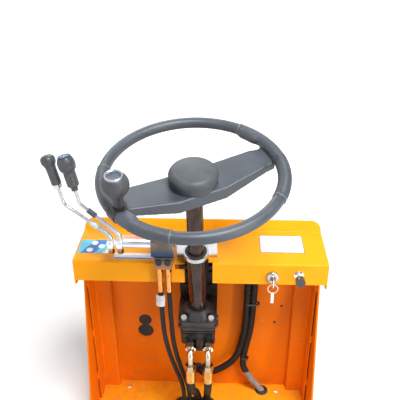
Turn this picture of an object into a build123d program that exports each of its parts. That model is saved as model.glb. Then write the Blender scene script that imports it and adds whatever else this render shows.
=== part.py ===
"""Operator's console of an articulated mini loader: sheet-metal cabinet, tilted steering wheel with spinner
knob, column, hydraulic steering unit, two-lever valve, hoses and switches.  Millimetres, +X to the operator's
right, +Y ahead of the operator, +Z up, origin at the centre of the base bolt pattern on the underside."""
import os
from math import cos, radians, sin, tan

from build123d import *

# Cabinet
base_depth = 180.0
floor_thick = 5.0
floor_corner = 12.0
bolt_spacing_x = 430.0
bolt_spacing_y = 96.0
bolt_hole = 13.0
cheek_gap = 584.0
cheek_thick = 4.0
cheek_fold = 22.0
cheek_top_setback = 92.0
panel_thick = 3.0
panel_bend = 5.0
weld_slit = 3.0
weld_length = 20.0
weld_rows = (90.0, 240.0, 400.0)
return_depth = 51.0
post_width = 43.0
panel_step = 21.0
panel_front_margin = 13.0
eye_x = -160.0
eye_small = 18.0
eye_small_z = 233.0
eye_large = 22.0
eye_large_z = 196.0
flap_margin = 16.0
flap_thick = 3.0

# Dash hood
hood_thick = 2.5
hood_clear = 0.3
hood_bend = 4.0
apron_y = -62.0
apron_foot_z = 455.0
apron_height = 54.4
top_run = 127.3
top_slope = 7.4
ridge_length = 29.5
ridge_lean = 24.0
ridge_corner = 25.0
skirt_drop = 14.0
skirt_corner = 8.0
notch_left = -34.0
notch_right = 31.0
notch_ear_left = -57.0
notch_ear_drop = 18.0
slot_width = 56.0
slot_depth = 25.0
switch_x = 171.0
switch_z = 476.0
switch_bezel = 30.0
switch_body = 22.0
switch_body_depth = 36.0
bezel_depth = 8.0
bezel_round = 5.0
key_thick = 2.4
key_reach = 20.0
key_rise = 9.0
key_sag = 12.0
key_ring = 23.0
key_ring_wire = 2.2
key_blade = 7.0
key_length = 30.0
knob_x = 231.0
knob_z = 483.0
knob_stem = 8.0
knob_reach = 20.0
knob_dia = 22.0
knob_depth = 14.0

# Steering column, measured along its axis from the wheel centre
column_x = -6.5
wheel_y = -141.3
wheel_z = 767.8
column_tilt = 16.45
upper_dia = 37.0
lower_dia = 42.0
tube_bore = 27.0
bearing_depth = 22.0
tube_top = -68.0
tube_step = -245.0
flange_top = -441.0
flange_thick = 14.0
flange_width = 96.0
flange_depth = 86.0
flange_corner = 12.0
boss_dia = 82.0
boss_top_dia = 52.0
boss_height = 18.0
flange_bolt_x = 34.0
flange_bolt_y = 30.0
shaft_dia = 20.0
shaft_clear = 0.3
shaft_end = -175.0
bolt_af = 13.0
bolt_head = 6.0

# Column clamp on the dash
ring_s = -236.0
ring_height = 11.0
ring_dia = 58.0
ring_bore = 50.0
clamp_width = 94.0
clamp_height = 40.0
clamp_thick = 4.0
clamp_foot = 30.0
clamp_setback = 22.0
neck_width = 26.0

# Steering bracket
web_offset = 46.0
web_thick = 4.0
web_top = -292.0
bracket_width = 96.0
shelf_thick = 8.0
ear_width = 26.0
ear_top = 470.0
ear_foot = 336.0
bracket_bolt_x = 34.0
bracket_bolt_rows = (-330.0, -352.0, -400.0)
ear_bolt_rows = (440.0, 366.0)

# Steering unit
unit_width = 88.0
unit_length = 70.0
unit_corner = 8.0
unit_groove = 4.0
unit_groove_depth = 5.0
unit_groove_rows = (12.0, 22.0)
gear_dia = 74.0
gear_length = 20.0
cover_length = 24.0
cover_bolts = 7
cover_bolt_ring = 29.0
cover_bolt_dia = 9.0
cover_bolt_head = 6.0
port_s = -514.0
port_left = -16.5
port_right = 27.5
port_pad = 4.0
port_pad_dia = 32.0
adapter_af = 22.0
plug_af = 15.0
plug_length = 8.0
plug_rows = (-482.0, -500.0)
adapter_length = 12.0
nut_af = 26.0
nut_length = 13.0
elbow_dia = 15.0
elbow_bend = 18.0
elbow_run = 16.0
elbow_drop = 30.0
collar_af = 24.0
collar_length = 14.0
ferrule_dia = 25.0
ferrule_length = 40.0
steer_hose = 20.0

# Control valve
axis_y = -64.0
axis_z = 559.0
valve_left = -108.0
valve_width = 50.0
valve_rear = -86.0
valve_depth = 50.0
valve_foot = 537.0
valve_height = 42.0
valve_edge = 4.0
pedestal_width = 40.0
pedestal_depth = 26.0
pedestal_thick = 5.0
port_block_width = 40.0
port_block_depth = 21.0
port_block_height = 32.0
port_block_clear = 3.0
valve_port_pitch = 20.0
valve_nut_af = 14.0
valve_nut_length = 10.0
valve_ferrule = 13.0
valve_ferrule_length = 56.0
valve_hose = 11.5

# Levers
outer_tube = 18.0
inner_shaft = 10.0
pivot_clear = 0.3
tube_seat = 22.0
shaft_seat = 40.0
hub_width = 16.0
hub_gap = 5.0
hub_right_x = -181.0
hub_dia = 28.0
hub_round = 5.0
clamp_bolt_af = 13.0
clamp_bolt_length = 11.0
rod_dia = 8.0
rod_bend = 14.0
right_head = 38.0
right_handle = 26.5
right_collar = 15.0
right_collar_length = 6.0
right_chamfer = 7.0
right_neck_drop = 33.0
right_brim_drop = 28.0
right_grip = 78.0
left_head = 33.0
left_handle = 21.5
left_waist = 19.0
left_flare = 30.0
left_brim = 11.0
left_grip = 76.0
left_nut_af = 19.0
left_nut_length = 9.0
sleeve_dia = 11.5
right_sleeve = 0.5
left_sleeve = 0.36
grip_seat = 16.0
cap_dia = 27.0
cap_thick = 2.5
# Each bend of a lever's rod: sideways, ahead, up
right_bends = ((0.0, 0.0, 24.0), (-81.0, -5.0, 103.0), (-90.2, -6.0, 151.5))
left_bends = ((0.0, 0.0, 20.0), (-97.0, 3.0, 97.0), (-110.3, 5.0, 152.5))

# Steering wheel
rim_radius = 178.0
rim_dia = 24.0
grip_swell = 1.0
grip_arcs = ((-24.6, 58.0), (178.0, 260.5))
thumb_inset = 7.0
thumb_turns = ((43.0, 54.0), (223.0, 234.0))
spoke_turn = 27.4
spoke_near = 48.0
spoke_far = 38.0
spoke_near_end = 31.0
spoke_far_end = 26.0
spoke_flat = 51.0
spoke_rise = 140.0
spoke_dish = 21.0
spoke_end_drop = 10.0
spoke_tip = 5.0
spoke_depth = 28.0
spoke_end_depth = 19.0
spoke_wall = 6.0
spoke_edge = 3.0
hub_boss_dia = 70.0
hub_boss_drop = 6.0
hub_cap_dia = 98.0
hub_cap_wall = 16.0
hub_cap_lean = 1.0
hub_cap_shoulder = 14.0
hub_cap_crown = 5.0
dome_flat = 1.5
knob_inset = 7.0
knob_turn = 222.3
knob_ball_dia = 56.0
knob_ball_height = 61.0
knob_neck = 26.0
knob_pin = 10.0
knob_disc_dia = 33.0
knob_disc_thick = 3.0
knob_flat = 6.0
knob_foot_height = 16.0
knob_foot_dia = 30.0
knob_band = 2.5
knob_band_width = 22.0
knob_clear = 0.3

# Hoses and looms
grommet_x = -17.0
grommet_y = -20.0
grommet_width = 106.0
grommet_depth = 62.0
grommet_lip = 4.0
grommet_lip_height = 3.0
grommet_corner = 18.0
hose_clear = 0.3
hose_end = 1.0
loom_dia = 18.0
loom_clear = 0.3
loom_y = 46.0
loom_pitch = 17.6
loom_end = 6.0
loom_x = 122.5
# Each bend of a loom: sideways from its top, ahead of its top, height
inner_bends = ((0.0, 0.0, 262.0), (-28.0, 1.0, 140.0), (-92.0, 2.0, 70.0), (-124.0, 3.0, 63.0))
inner_foot = (-136.0, 63.0)
outer_bends = ((0.0, 0.0, 262.0), (-25.0, 1.0, 138.0), (-23.0, 2.0, 78.0))
outer_foot = (33.0, 4.0)
# Each bend of a valve hose: sideways, ahead and up from its ferrule's end
left_valve_bends = ((1.0, 2.5, -103.0), (8.0, 7.5, -170.0), (23.0, 17.5, -245.0), (42.0, 26.0, -310.0),
                    (47.0, 33.5, -372.0))
right_valve_bends = ((2.0, 4.5, -104.0), (5.5, 11.5, -173.0), (18.0, 21.5, -248.0), (33.0, 35.0, -312.0),
                     (41.0, 44.5, -368.0))
left_steer_foot = (-9.0, -6.0)
right_steer_foot = (16.0, -4.0)
steer_lead = 0.22
steer_tail = 0.3
loom_hole = 30.0
clamp_block = 12.0
clamp_z = 402.0
clamp_wall = 4.5

# Values that follow from those above
base_width = cheek_gap + 2.0 * cheek_thick
hood_width = base_width + 2.0 * (hood_thick + hood_clear)
slope = radians(top_slope)
fold_z = apron_foot_z + apron_height
ridge_y = apron_y + top_run
ridge_z = fold_z + top_run * tan(slope)
lip_y = ridge_y + ridge_length * sin(radians(ridge_lean))
lip_z = ridge_z + ridge_length * cos(radians(ridge_lean))
base_front = base_depth / 2.0
base_rear = -base_depth / 2.0
return_x = cheek_gap / 2.0 - weld_slit - panel_thick
panel_y = base_front - panel_front_margin - panel_thick
post_y = panel_y - panel_step
return_y = post_y - return_depth
panel_half = return_x - post_width
shelf_top = flange_top - flange_thick
unit_top = shelf_top - shelf_thick
unit_foot = unit_top - unit_length
gear_foot = unit_foot - gear_length
cover_foot = gear_foot - cover_length
port_face = -unit_width / 2.0 - port_pad
hub_left_x = hub_right_x - hub_width - hub_gap
knob_radius = rim_radius - knob_inset
hub_foot = -spoke_dish - spoke_depth - hub_boss_drop
column = Plane(origin=(column_x, wheel_y, wheel_z), x_dir=(1, 0, 0),
               z_dir=(0, -sin(radians(column_tilt)), cos(radians(column_tilt))))


def hood_top_z(y, depth=0.0):
    """Height of the dash's upper face at y, or of a face that lies deeper in the sheet."""
    return fold_z + (y - apron_y) * tan(slope) - depth / cos(slope)


def block(x_span, y_span, z_span):
    """Box between the given limits."""
    spans = (x_span, y_span, z_span)
    sizes = [high - low for low, high in spans]
    middle = [(low + high) / 2.0 for low, high in spans]
    return Pos(*middle) * Box(*sizes)


def side_prism(points, x_low, x_high):
    """Prism across X with the given outline in Y and Z."""
    outline = make_face(Polyline(*points, close=True))
    return Pos(x_low, 0, 0) * extrude(Plane.YZ * outline, x_high - x_low)


def rod(diameter, length):
    """Cylinder that stands on the XY plane."""
    return extrude(Circle(diameter / 2.0), length)


def hexagon(across_flats, length):
    """Hexagonal bar that stands on the XY plane."""
    return extrude(RegularPolygon(across_flats / 2.0, 6, major_radius=False), length)


def shifted(points, distance):
    """Open outline moved sideways to its left, with mitred corners."""
    moved = []
    count = len(points)
    for index, point in enumerate(points):
        here = Vector(*point)
        before = Vector(*points[max(index - 1, 0)])
        after = Vector(*points[min(index + 1, count - 1)])
        arrive = (here - before) if index else (after - here)
        leave = (after - here) if index < count - 1 else (here - before)
        first = Vector(-arrive.Y, arrive.X).normalized()
        second = Vector(-leave.Y, leave.X).normalized()
        middle = (first + second).normalized()
        reach = distance / middle.dot(first)
        moved.append((here.X + middle.X * reach, here.Y + middle.Y * reach))
    return moved


def folded_sheet(points, thickness, bend, side):
    """Face of a bent sheet whose shown face follows the points; side is +1 when it thickens to the left."""
    middle = shifted(points, side * thickness / 2.0)
    return trace(FilletPolyline(*middle, radius=bend), line_width=thickness)


def route(points, end_share=0.9, share=0.45):
    """Path of straight runs and tangent arcs, each arc as large as its two runs allow."""
    corners = [Vector(*point) for point in points]
    last = len(corners) - 1
    radii = []
    for index in range(1, last):
        arrive = corners[index] - corners[index - 1]
        leave = corners[index + 1] - corners[index]
        turn = radians(arrive.get_angle(leave))
        first = arrive.length * (end_share if index == 1 else share)
        second = leave.length * (end_share if index == last - 1 else share)
        radii.append(min(first, second) / tan(turn / 2.0))
    return FilletPolyline(*points, radius=radii), radii


def hose(name, points, diameter):
    """Round hose along a route; prints the length and the radii of its bends."""
    path, radii = route(points)
    bends = " ".join(f"{radius:.0f}" for radius in radii)
    solid = sweep(Plane(origin=path @ 0, z_dir=path % 0) * Circle(diameter / 2.0), path=path)
    print(f"{name}: length {path.length:.0f} mm, bend radii {bends}")
    return solid


def floor_plate():
    """Base plate with the bolt holes and the openings for the hoses and the looms."""
    plate = extrude(RectangleRounded(base_width, base_depth, floor_corner), floor_thick)
    opening = extrude(RectangleRounded(grommet_width, grommet_depth, grommet_corner), floor_thick)
    for place in GridLocations(bolt_spacing_x, bolt_spacing_y, 2, 2):
        plate -= place * rod(bolt_hole, floor_thick)
    plate -= Pos(grommet_x, grommet_y, 0) * opening
    loom_foot = outer_loom_points()[-1]
    plate -= Pos(loom_foot[0], loom_foot[1], 0) * rod(loom_hole, floor_thick)
    return plate


def cheek(side):
    """Side plate with a raked rear edge and a fold along its front edge; side is -1 on the left."""
    inner = cheek_gap / 2.0
    rear_top = base_rear + cheek_top_setback
    crest = hood_top_z(base_front, hood_thick)
    outline = [(base_rear, floor_thick), (base_front, floor_thick),
               (base_front, hood_top_z(ridge_y, hood_thick)), (ridge_y, hood_top_z(ridge_y, hood_thick)),
               (rear_top, hood_top_z(rear_top, hood_thick)), (rear_top, apron_foot_z - skirt_drop)]
    plate = side_prism(outline, inner, inner + cheek_thick)
    fold = block((inner - cheek_fold, inner), (base_front - cheek_thick, base_front),
                 (floor_thick, min(crest, hood_top_z(ridge_y, hood_thick))))
    solid = plate + fold
    return solid if side > 0 else mirror(solid, Plane.YZ)


def back_panel():
    """Folded panel at the back of the foot recess, with its posts, stitch welds and figure-8 cut-out."""
    corners = [(-return_x, return_y), (-return_x, post_y), (-panel_half, post_y), (-panel_half, panel_y),
               (panel_half, panel_y), (panel_half, post_y), (return_x, post_y), (return_x, return_y)]
    height = hood_top_z(ridge_y) - floor_thick
    sheet = Pos(0, 0, floor_thick) * extrude(folded_sheet(corners, panel_thick, panel_bend, 1), height)
    reach = base_width
    cover = side_prism([(y, hood_top_z(y, hood_thick)) for y in (base_rear, base_depth)] +
                       [(base_depth, lip_z + base_depth), (base_rear, lip_z + base_depth)], -reach, reach)
    sheet -= cover
    through = panel_thick * 4.0
    for z, radius in ((eye_small_z, eye_small), (eye_large_z, eye_large)):
        sheet -= Pos(eye_x, panel_y + through / 2.0, z) * Rot(90, 0, 0) * Cylinder(radius, through)
    loom_foot = inner_loom_points()[-1]
    sheet -= Pos(loom_foot[0], panel_y + through / 2.0, loom_foot[2]) * Rot(90, 0, 0) * Cylinder(loom_hole / 2.0, through)
    for side in (-1, 1):
        for z in weld_rows:
            inner = side * (return_x + panel_thick)
            outer = side * cheek_gap / 2.0
            sheet += block((min(inner, outer), max(inner, outer)),
                           (return_y, return_y + panel_thick), (z - weld_length / 2.0, z + weld_length / 2.0))
    return sheet


def eye_flap():
    """Rubber sheet fixed behind the figure-8 cut-out."""
    low, high = eye_large_z - eye_large - flap_margin, eye_small_z + eye_small + flap_margin
    rear = panel_y + panel_thick
    return block((eye_x - eye_large - flap_margin, eye_x + eye_large + flap_margin),
                 (rear, rear + flap_thick), (low, high))


def dash_hood():
    """Bent dash: apron, sloped top, upstand with round corners, skirts, column notch and switch holes."""
    half = hood_width / 2.0
    profile = [(apron_y, apron_foot_z), (apron_y, fold_z), (ridge_y, ridge_z), (lip_y, lip_z)]
    sheet = folded_sheet(profile, hood_thick, hood_bend, -1)
    hood = Pos(-half, 0, 0) * extrude(Plane.YZ * sheet, hood_width)
    skirt = side_prism([(apron_y, apron_foot_z - skirt_drop), (ridge_y, apron_foot_z - skirt_drop),
                        (ridge_y, hood_top_z(ridge_y, hood_thick / 2.0)),
                        (apron_y + hood_bend, hood_top_z(apron_y + hood_bend, hood_thick / 2.0)),
                        (apron_y, fold_z - hood_bend)], half - hood_thick, half)
    low = skirt.edges().filter_by(Axis.X).sort_by(Axis.Z)[0:2]
    skirt = fillet(low, skirt_corner)
    hood = hood + skirt + mirror(skirt, Plane.YZ)
    span = ridge_length * 3.0
    tip = Plane(origin=(0, lip_y, lip_z), x_dir=(1, 0, 0),
                z_dir=(0, -cos(radians(ridge_lean)), sin(radians(ridge_lean))))
    for side in (-1, 1):
        trim = Pos(side * (half - ridge_corner / 2.0), -ridge_corner / 2.0) * Rectangle(ridge_corner, ridge_corner)
        trim -= Pos(side * (half - ridge_corner), -ridge_corner) * Circle(ridge_corner)
        hood -= tip * extrude(trim, span / 2.0, both=True)
    hood -= block((notch_left, notch_right), (apron_y - hood_thick, apron_y + hood_thick + hood_bend),
                  (apron_foot_z - hood_thick, fold_z + hood_thick))
    hood -= block((notch_ear_left, notch_left), (apron_y - hood_thick, apron_y + hood_thick + hood_bend),
                  (fold_z - notch_ear_drop, fold_z - hood_bend))
    slot = Pos(column_x, apron_y) * RectangleRounded(slot_width, 2.0 * slot_depth, slot_depth / 2.0)
    hood -= Pos(0, 0, apron_foot_z) * extrude(slot, lip_z - apron_foot_z)
    for x, z, diameter in ((switch_x, switch_z, switch_body), (knob_x, knob_z, knob_stem)):
        hood -= Pos(x, apron_y, z) * Rot(90, 0, 0) * Cylinder(diameter / 2.0 + hood_clear, hood_bend * 3.0)
    return hood


def hose_grommet():
    """Rubber grommet in the floor, bored for the four hoses."""
    body = extrude(RectangleRounded(grommet_width, grommet_depth, grommet_corner), floor_thick)
    lip = extrude(RectangleRounded(grommet_width + 2.0 * grommet_lip, grommet_depth + 2.0 * grommet_lip,
                                   grommet_corner + grommet_lip), grommet_lip_height)
    solid = Pos(grommet_x, grommet_y, 0) * (body + Pos(0, 0, floor_thick) * lip)
    tall = floor_thick + grommet_lip_height
    for points, diameter in all_hoses():
        solid -= Pos(points[-1][0], points[-1][1], 0) * rod(diameter + 2.0 * hose_clear, tall)
    return solid


def column_tube():
    """Two-diameter column tube with the shaft's bearing at its top."""
    low, step, top = flange_top, tube_step, tube_top
    tube = Pos(0, 0, low) * rod(lower_dia, step - low) + Pos(0, 0, step) * rod(upper_dia, top - step)
    tube -= Pos(0, 0, low) * rod(tube_bore, top - bearing_depth - low)
    tube -= Pos(0, 0, low) * rod(shaft_dia + 2.0 * shaft_clear, top - low)
    return column * tube


def column_flange():
    """Cast flange at the foot of the column, with a boss round the tube."""
    plate = extrude(RectangleRounded(flange_width, flange_depth, flange_corner), flange_thick)
    boss = Cone(boss_dia / 2.0, boss_top_dia / 2.0, boss_height, align=(Align.CENTER, Align.CENTER, Align.MIN))
    solid = Pos(0, 0, shelf_top) * plate + Pos(0, 0, flange_top) * boss
    for place in GridLocations(2.0 * flange_bolt_x, 2.0 * flange_bolt_y, 2, 2):
        solid -= Pos(0, 0, flange_top) * place * rod(2.0 * bolt_af, boss_height)
    solid -= Pos(0, 0, flange_top) * rod(lower_dia, boss_height)
    solid -= Pos(0, 0, shelf_top) * rod(tube_bore, flange_thick)
    return column * solid


def flange_bolts():
    """Hexagon heads on the flange."""
    head = hexagon(bolt_af, bolt_head)
    places = GridLocations(2.0 * flange_bolt_x, 2.0 * flange_bolt_y, 2, 2)
    return [column * Pos(0, 0, flange_top) * place * head for place in places]


def column_clamp():
    """Zinc angle on the dash that carries a ring round the column."""
    rear = apron_y + clamp_setback
    front = rear + clamp_foot
    low, high = column_x - clamp_width / 2.0, column_x + clamp_width / 2.0
    foot = side_prism([(rear, hood_top_z(rear)), (front, hood_top_z(front)),
                       (front, hood_top_z(front) + clamp_thick), (rear, hood_top_z(rear) + clamp_thick)], low, high)
    wall = block((low, high), (rear, rear + clamp_thick), (hood_top_z(rear) + clamp_thick,
                                                           hood_top_z(rear) + clamp_height))
    ring = column * Pos(0, 0, ring_s) * rod(ring_dia, ring_height)
    neck = column * Pos(0, 0, ring_s) * extrude(Pos(0, ring_dia / 2.0) * Rectangle(neck_width, ring_dia),
                                                ring_height)
    keep = block((low, high), (apron_y - ring_dia, rear + clamp_thick), (fold_z, lip_z + ring_dia))
    solid = foot + wall + ring + (neck & keep)
    solid -= column * Pos(0, 0, ring_s - ring_height) * rod(ring_bore, ring_height * 3.0)
    return solid


def column_bush():
    """Rubber bush between the clamp ring and the column tube."""
    bush = rod(ring_bore, ring_height) - rod(upper_dia, ring_height)
    return column * Pos(0, 0, ring_s) * bush


def steering_bracket():
    """Black bracket: shelf under the flange, web behind the column, side plates and ears turned in on the panel."""
    half = bracket_width / 2.0
    shelf = Pos(0, 0, unit_top) * extrude(
        Pos(0, (web_offset + web_thick - flange_depth / 2.0) / 2.0) *
        Rectangle(bracket_width, web_offset + web_thick + flange_depth / 2.0), shelf_thick)
    shelf -= Pos(0, 0, unit_top) * rod(tube_bore, shelf_thick)
    web = Pos(0, web_offset + web_thick / 2.0, shelf_top) * extrude(
        Rectangle(bracket_width, web_thick), web_top - shelf_top)
    solid = column * (shelf + web)
    low = column.from_local_coords((0, web_offset + web_thick / 2.0, unit_top))
    high = column.from_local_coords((0, web_offset + web_thick / 2.0, web_top))
    ear_y = panel_y - web_thick
    for side in (-1, 1):
        inner = column_x + side * (half - web_thick)
        outer = column_x + side * half
        tip = inner - side * ear_width
        solid += side_prism([(low.Y, low.Z), (high.Y, high.Z), (panel_y, ear_top), (panel_y, ear_foot)],
                            min(inner, outer), max(inner, outer))
        solid += block((min(inner, tip), max(inner, tip)), (ear_y, panel_y), (ear_foot, ear_top))
    return solid


def bracket_bolts():
    """Hexagon heads on the bracket's web and ears."""
    head = hexagon(bolt_af, bolt_head)
    heads = []
    for side in (-1, 1):
        for s in bracket_bolt_rows:
            heads.append(column * Pos(side * bracket_bolt_x, web_offset, s) * Rot(90, 0, 0) * head)
        for z in ear_bolt_rows:
            x = column_x + side * (bracket_width / 2.0 - web_thick - ear_width / 2.0)
            heads.append(Pos(x, panel_y - web_thick, z) * Rot(90, 0, 0) * head)
    return heads


def unit_housing():
    """Housing of the steering unit with two round port pads towards the operator."""
    body = Pos(0, 0, unit_foot) * extrude(RectangleRounded(unit_width, unit_width, unit_corner), unit_length)
    for drop in unit_groove_rows:
        waist = RectangleRounded(unit_width - 2.0 * unit_groove_depth, unit_width - 2.0 * unit_groove_depth,
                                 unit_corner)
        frame = RectangleRounded(2.0 * unit_width, 2.0 * unit_width, unit_corner) - waist
        body -= Pos(0, 0, unit_top - drop - unit_groove) * extrude(frame, unit_groove)
    for x in (port_left, port_right):
        body += Pos(x, -unit_width / 2.0, port_s) * Rot(90, 0, 0) * rod(port_pad_dia, port_pad)
    return column * body


def unit_gear():
    """Gear ring between the housing and the end cover."""
    return column * Pos(0, 0, gear_foot) * rod(gear_dia, gear_length)


def unit_cover():
    """End cover with its ring of cap screws."""
    cover = Pos(0, 0, cover_foot) * rod(gear_dia, cover_length)
    for place in PolarLocations(cover_bolt_ring, cover_bolts):
        cover += Pos(0, 0, cover_foot - cover_bolt_head) * place * rod(cover_bolt_dia, cover_bolt_head)
    return column * cover


def port_frame(x):
    """Frame on a port's face, with Z out of the port."""
    return column * Pos(x, port_face, port_s) * Rot(90, 0, 0)


def port_adapters():
    """Hexagon adapters in the steering unit's ports, and the plugs on its right side."""
    pieces = [port_frame(x) * hexagon(adapter_af, adapter_length) for x in (port_left, port_right)]
    for row in plug_rows:
        pieces.append(column * Pos(unit_width / 2.0, 0, row) * Rot(0, 90, 0) * hexagon(plug_af, plug_length))
    return pieces


def elbow_points(x):
    """Corner points of a swivel elbow: out of the port, then straight down."""
    start = column.from_local_coords((x, port_face - adapter_length - nut_length, port_s))
    corner = column.from_local_coords((x, port_face - adapter_length - nut_length - elbow_run, port_s))
    return start, corner, corner - Vector(0, 0, elbow_drop)


def hose_elbows():
    """Swivel elbows with their nuts and collars."""
    solids = []
    for x in (port_left, port_right):
        path = FilletPolyline(*elbow_points(x), radius=elbow_bend)
        bend = sweep(Plane(origin=path @ 0, z_dir=path % 0) * Circle(elbow_dia / 2.0), path=path)
        nut = port_frame(x) * Pos(0, 0, adapter_length) * hexagon(nut_af, nut_length)
        collar = Pos(*(path @ 1)) * Rot(180, 0, 0) * hexagon(collar_af, collar_length)
        solids.append(bend + nut + collar)
    return solids


def ferrule_top(x):
    """Upper end of a steering hose's ferrule."""
    return elbow_points(x)[2] - Vector(0, 0, collar_length)


def hose_ferrules():
    """Crimped ferrules below the elbows."""
    return [Pos(*ferrule_top(x)) * Rot(180, 0, 0) * rod(ferrule_dia, ferrule_length)
            for x in (port_left, port_right)]


def steering_hose_points(x, floor_x, floor_y):
    """Route of a steering hose from its ferrule to the grommet."""
    start = ferrule_top(x) - Vector(0, 0, ferrule_length)
    high, low = start.Z * (1.0 - steer_lead), start.Z * steer_tail
    return [tuple(start), (start.X, start.Y, high), (floor_x, floor_y, low), (floor_x, floor_y, hose_end)]


def left_steering_points():
    return steering_hose_points(port_left, *left_steer_foot)


def right_steering_points():
    return steering_hose_points(port_right, *right_steer_foot)


def valve_port_xs():
    """Places of the two hose ports along the valve."""
    middle = valve_left + valve_width / 2.0 + valve_edge / 2.0
    return middle - valve_port_pitch / 2.0, middle + valve_port_pitch / 2.0


def valve_port_y():
    return apron_y - port_block_clear - port_block_depth / 2.0


def valve_hose_top():
    return valve_foot - port_block_height - valve_nut_length - valve_ferrule_length


def valve_hose_points(port, bends):
    """Route of a valve hose from its ferrule to the grommet."""
    x, y, top = valve_port_xs()[port], valve_port_y(), valve_hose_top()
    points = [(x, y, top)]
    points += [(x + side, y + ahead, top + up) for side, ahead, up in bends]
    return [*points, (points[-1][0], points[-1][1], hose_end)]


def left_valve_points():
    return valve_hose_points(0, left_valve_bends)


def right_valve_points():
    return valve_hose_points(1, right_valve_bends)


def all_hoses():
    """Routes and diameters of the hoses that pass the grommet."""
    return [(left_steering_points(), steer_hose), (right_steering_points(), steer_hose),
            (left_valve_points(), valve_hose), (right_valve_points(), valve_hose)]


def loom_points(x, bends):
    """Route of a loom from under the hood along its bends."""
    top = hood_top_z(loom_y - loom_dia / 2.0, hood_thick) - loom_clear
    return [(x, loom_y, top)] + [(x + side, loom_y + ahead, height) for side, ahead, height in bends]


def inner_loom_points():
    """Route of the loom that turns left and goes through the back panel."""
    side, height = inner_foot
    return [*loom_points(loom_x, inner_bends), (loom_x + side, panel_y + panel_thick, height)]


def outer_loom_points():
    """Route of the loom that goes down through the floor plate."""
    x = loom_x + loom_pitch
    side, ahead = outer_foot
    return [*loom_points(x, outer_bends), (x + side, loom_y + ahead, loom_end)]


def loom_clamp():
    """Twin clamp that holds both looms to the back panel."""
    inner, outer = inner_loom_points()[0], outer_loom_points()[0]
    bore = loom_dia + 2.0 * loom_clear
    low, high = inner[0] - loom_dia / 2.0 - clamp_wall, outer[0] + loom_dia / 2.0 + clamp_wall
    middle = clamp_z
    solid = block((low, high), (inner[1] - loom_dia / 2.0 - clamp_wall, panel_y),
                  (middle - clamp_block / 2.0, middle + clamp_block / 2.0))
    for x in (inner[0], outer[0]):
        solid -= Pos(x, inner[1], middle) * Cylinder(bore / 2.0, clamp_block)
    return solid


def valve_pedestal():
    """Foot that carries the valve on the dash."""
    rear = apron_y + hood_bend
    front = rear + pedestal_depth
    low = valve_left + (valve_width - pedestal_width) / 2.0
    return side_prism([(rear, hood_top_z(rear)), (front, hood_top_z(front)), (front, valve_foot),
                       (rear, valve_foot)], low, low + pedestal_width)


def valve_body():
    """Valve body, bored for the two pivots."""
    body = block((valve_left, valve_left + valve_width), (valve_rear, valve_rear + valve_depth),
                 (valve_foot, valve_foot + valve_height))
    body = fillet(body.edges().filter_by(Axis.X), valve_edge)
    turn = Pos(valve_left, axis_y, axis_z) * Rot(0, 90, 0)
    body -= turn * rod(outer_tube + 2.0 * pivot_clear, tube_seat)
    body -= turn * rod(inner_shaft + 2.0 * pivot_clear, shaft_seat)
    return body


def valve_port_block():
    """Port block under the valve's overhang."""
    left, right = valve_port_xs()
    middle = (left + right) / 2.0
    rear = valve_port_y() - port_block_depth / 2.0
    return block((middle - port_block_width / 2.0, middle + port_block_width / 2.0),
                 (rear, rear + port_block_depth), (valve_foot - port_block_height, valve_foot))


def valve_fittings():
    """Hexagon nuts under the port block."""
    top = valve_foot - port_block_height
    return [Pos(x, valve_port_y(), top - valve_nut_length) * hexagon(valve_nut_af, valve_nut_length)
            for x in valve_port_xs()]


def valve_ferrules():
    """Long ferrules below the nuts."""
    return [Pos(x, valve_port_y(), valve_hose_top()) * rod(valve_ferrule, valve_ferrule_length)
            for x in valve_port_xs()]


def lever_hub(x):
    """Clamp hub on a pivot, with the head of its clamp bolt below."""
    barrel = rod(hub_dia, hub_width)
    barrel = fillet(barrel.edges(), hub_round)
    hub = Pos(x - hub_width / 2.0, axis_y, axis_z) * Rot(0, 90, 0) * barrel
    bolt = Pos(x, axis_y, axis_z - hub_dia / 2.0 - clamp_bolt_length + 1.0) * hexagon(clamp_bolt_af,
                                                                                    clamp_bolt_length)
    return hub + bolt


def right_hub():
    return lever_hub(hub_right_x) - pivot_bar(hub_right_x - hub_width, hub_right_x + hub_width, outer_tube)


def left_hub():
    return lever_hub(hub_left_x) - pivot_bar(hub_left_x - hub_width, hub_left_x + hub_width, inner_shaft)


def pivot_bar(low, high, diameter):
    """Round bar along the levers' pivot."""
    return Pos(low, axis_y, axis_z) * Rot(0, 90, 0) * rod(diameter, high - low)


def right_tube():
    """Outer pivot tube, carried in the valve body."""
    end = valve_left + tube_seat - pivot_clear
    start = hub_right_x - hub_width / 2.0
    return pivot_bar(start, end, outer_tube) - pivot_bar(start, end, inner_shaft + 2.0 * pivot_clear)


def left_shaft():
    """Inner pivot shaft, which runs through the outer tube into the valve body."""
    return pivot_bar(hub_left_x - hub_width / 2.0, valve_left + shaft_seat - pivot_clear, inner_shaft)


def lever_points(hub_x, table):
    """Points of a lever's rod; the columns are the distances sideways, ahead and up from its hub's centre."""
    start = (0.0, 0.0, hub_dia / 2.0 - rod_dia / 4.0)
    return [(hub_x + side, axis_y + ahead, axis_z + up) for side, ahead, up in (start, *table)]


def right_points():
    return lever_points(hub_right_x, right_bends)


def left_points():
    return lever_points(hub_left_x, left_bends)


def lever_rod(points, hub, sleeve_share):
    """Bent rod from the hub to the grip, with a sleeve over the lower share of its long run."""
    path = FilletPolyline(*points, radius=rod_bend)
    solid = sweep(Plane(origin=path @ 0, z_dir=path % 0) * Circle(rod_dia / 2.0), path=path)
    low, high = Vector(*points[1]), Vector(*points[2])
    middle = low + (high - low) * sleeve_share
    cover = FilletPolyline(points[0], points[1], tuple(middle), radius=rod_bend)
    solid += sweep(Plane(origin=cover @ 0, z_dir=cover % 0) * Circle(sleeve_dia / 2.0), path=cover)
    return solid - hub


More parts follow.
